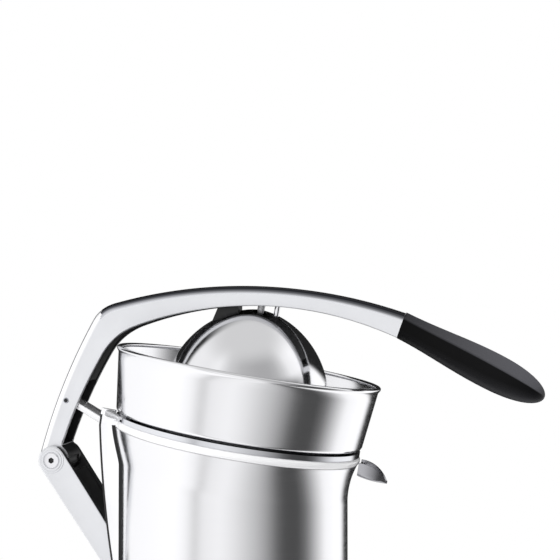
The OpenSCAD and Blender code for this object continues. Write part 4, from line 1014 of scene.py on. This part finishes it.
bmesh.ops.recalc_face_normals(spout_shape, faces=spout_shape.faces)
if sum(f.normal.z for f in spout_shape.faces) > 0:
    bmesh.ops.reverse_faces(spout_shape, faces=spout_shape.faces)
bmesh.ops.solidify(spout_shape, geom=spout_shape.faces[:], thickness=SPOUT_WALL)
hand_over(spout_shape, "pouring_spout", "spout", [steel_spout], ["spout"], LEANING, sharp=38)

# %% Press spring
SPRING_TURNS, TURN_STEPS, SPRING_RADIUS, WIRE_RADIUS, PRESS_TRAVEL = 4, 24, 5.0, 0.7, 1.5
levels = [(LEANING.inverted() @ (v.co / MM)).z for v in frame["nodes"]["press_spring"].data.vertices]
spring_low, spring_high = min(levels) + WIRE_RADIUS, max(levels) - WIRE_RADIUS
coil, coil_steps = [], SPRING_TURNS * TURN_STEPS
for i in range(coil_steps + 1):
    a, z = tau * i / TURN_STEPS, spring_low + (spring_high - spring_low) * i / coil_steps
    coil.append([((SPRING_RADIUS + r) * cos(a), (SPRING_RADIUS + r) * sin(a), z + h)
                 for r, h in circle_points((0, 0), WIRE_RADIUS, 0, 324, 9)])
spring_shape = bmesh.new()
skin(spring_shape, coil)
spring = hand_over(spring_shape, "press_coil", "base", [oiled_wire], ["press_spring"], LEANING, sharp=60)
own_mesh(spring)

# %% [markdown]
# ## Studio
# Steel shows what stands round it, so the light matters as much as the finish. The sky of this studio
# is white paper on both sides with one grey strip between, which draws the long dark band on the steel.

# %% Studio sky
world = bpy.data.worlds.new("studio")
bpy.context.scene.world = world
world.use_nodes = True
sky = world.node_tree
LOW_STOPS = [
    (-180, 0.95), (-150, 1.2), (-52, 1.36), (-40, 1.22), (-30, 0.8), (-23, 1.1), (-5, 1.2), (8, 1.05),
    (20, 0.84), (32, 0.64), (42, 0.42), (52, 0.17), (60, 0.09), (76, 0.08), (86, 0.2), (94, 0.48),
    (103, 0.85), (113, 1.25), (135, 1.36), (170, 1.2), (180, 0.95)]
HIGH_STOPS = [
    (-180, 1.0), (-88, 1.12), (-60, 1.08), (-40, 1.15), (-20, 0.8), (0, 0.62), (15, 0.56), (30, 0.52),
    (45, 0.52), (58, 0.6), (70, 0.8), (83, 1.12), (103, 1.28), (125, 1.2), (180, 1.0)]
east, north, height = axes_of(sky, "Generated")
bearing = maths(sky, "ARCTAN2", east, maths(sky, "MULTIPLY", north, -1.0))
turned = map_range(sky, bearing, -pi, pi)


def sky_strips(stops):
    """Upright strips of light, from stops of (bearing, grey level); the greys are a touch cool."""
    return colour_ramp(sky, turned, [((angle + 180) / 360, (level, level, level * 1.005, 1.0))
                                     for angle, level in stops])


def sky_share(source, start, end):
    """Rises smoothly from 0 to 1 while a value goes from start to end."""
    return map_range(sky, source, start, end, interpolation_type="SMOOTHSTEP")


def sky_mix(share, low, high):
    """Blends from the colour low to the colour high; high may be a fixed grey level."""
    high = (high, high, high, 1.0) if isinstance(high, float) else high
    return add_node(sky, "Mix", {"Factor": share, "A": low, "B": high}, data_type="RGBA").outputs[2]


# %% Dark flag behind, light above
climb = map_range(sky, height, 0.0, 0.4, 0.0, 0.56)
dip = map_range(sky, height, -0.2, 0.0, 0.17, 0.0)
sideways = maths(sky, "MULTIPLY_ADD", east, -0.2, maths(sky, "ADD", climb, dip))
behind = maths(sky, "ADD", sideways, north)
level_sky = sky_mix(sky_share(height, 0.2, 0.45), sky_strips(LOW_STOPS), sky_strips(HIGH_STOPS))
flagged_sky = sky_mix(sky_share(behind, 0.84, 0.99), level_sky, 0.02)
whole_sky = sky_mix(sky_share(height, 0.66, 0.95), flagged_sky, 0.82)
seen = sky_mix(add_node(sky, "LightPath").outputs["Is Camera Ray"], whole_sky, 1.0)
give_inputs(sky, sky.nodes["Background"], {"Color": seen})
print("sky strips:", len(LOW_STOPS), len(HIGH_STOPS))


# %% Soft light and floor
def soft_box(name, place, aim, size, watts):
    """A soft area light that looks at a point and doesn't show in the steel."""
    lamp = bpy.data.lights.new(name, "AREA")
    lamp.shape = "RECTANGLE"
    lamp.size, lamp.size_y = size
    lamp.energy = watts
    holder = add_object(name, lamp)
    holder.location = place
    holder.rotation_euler = (Vector(aim) - Vector(place)).to_track_quat("-Z", "Y").to_euler()
    holder.visible_glossy = False


soft_box("overhead", (0, -0.3, 1.6), (0, 0, 0.2), (1.6, 1.6), 9)
soft_box("front_fill", (-0.5, -1.6, 0.9), (0, 0, 0.25), (1.0, 1.0), 5)
FLOOR_RADIUS = 0.4
floor_mesh = bmesh.new()
bmesh.ops.create_circle(floor_mesh, cap_ends=True, segments=128, radius=FLOOR_RADIUS)
floor_data = bpy.data.meshes.new("paper_floor")
floor_mesh.to_mesh(floor_data)
floor_mesh.free()
floor_data.materials.append(grained("matt_paper", "#f3f3f3", 0.0, 0.9, 2.0, 0.01))
floor = add_object("paper_floor", floor_data)
floor.visible_glossy = False
print("floor radius", FLOOR_RADIUS, "m")

# %% End of the scene
print("scene built")
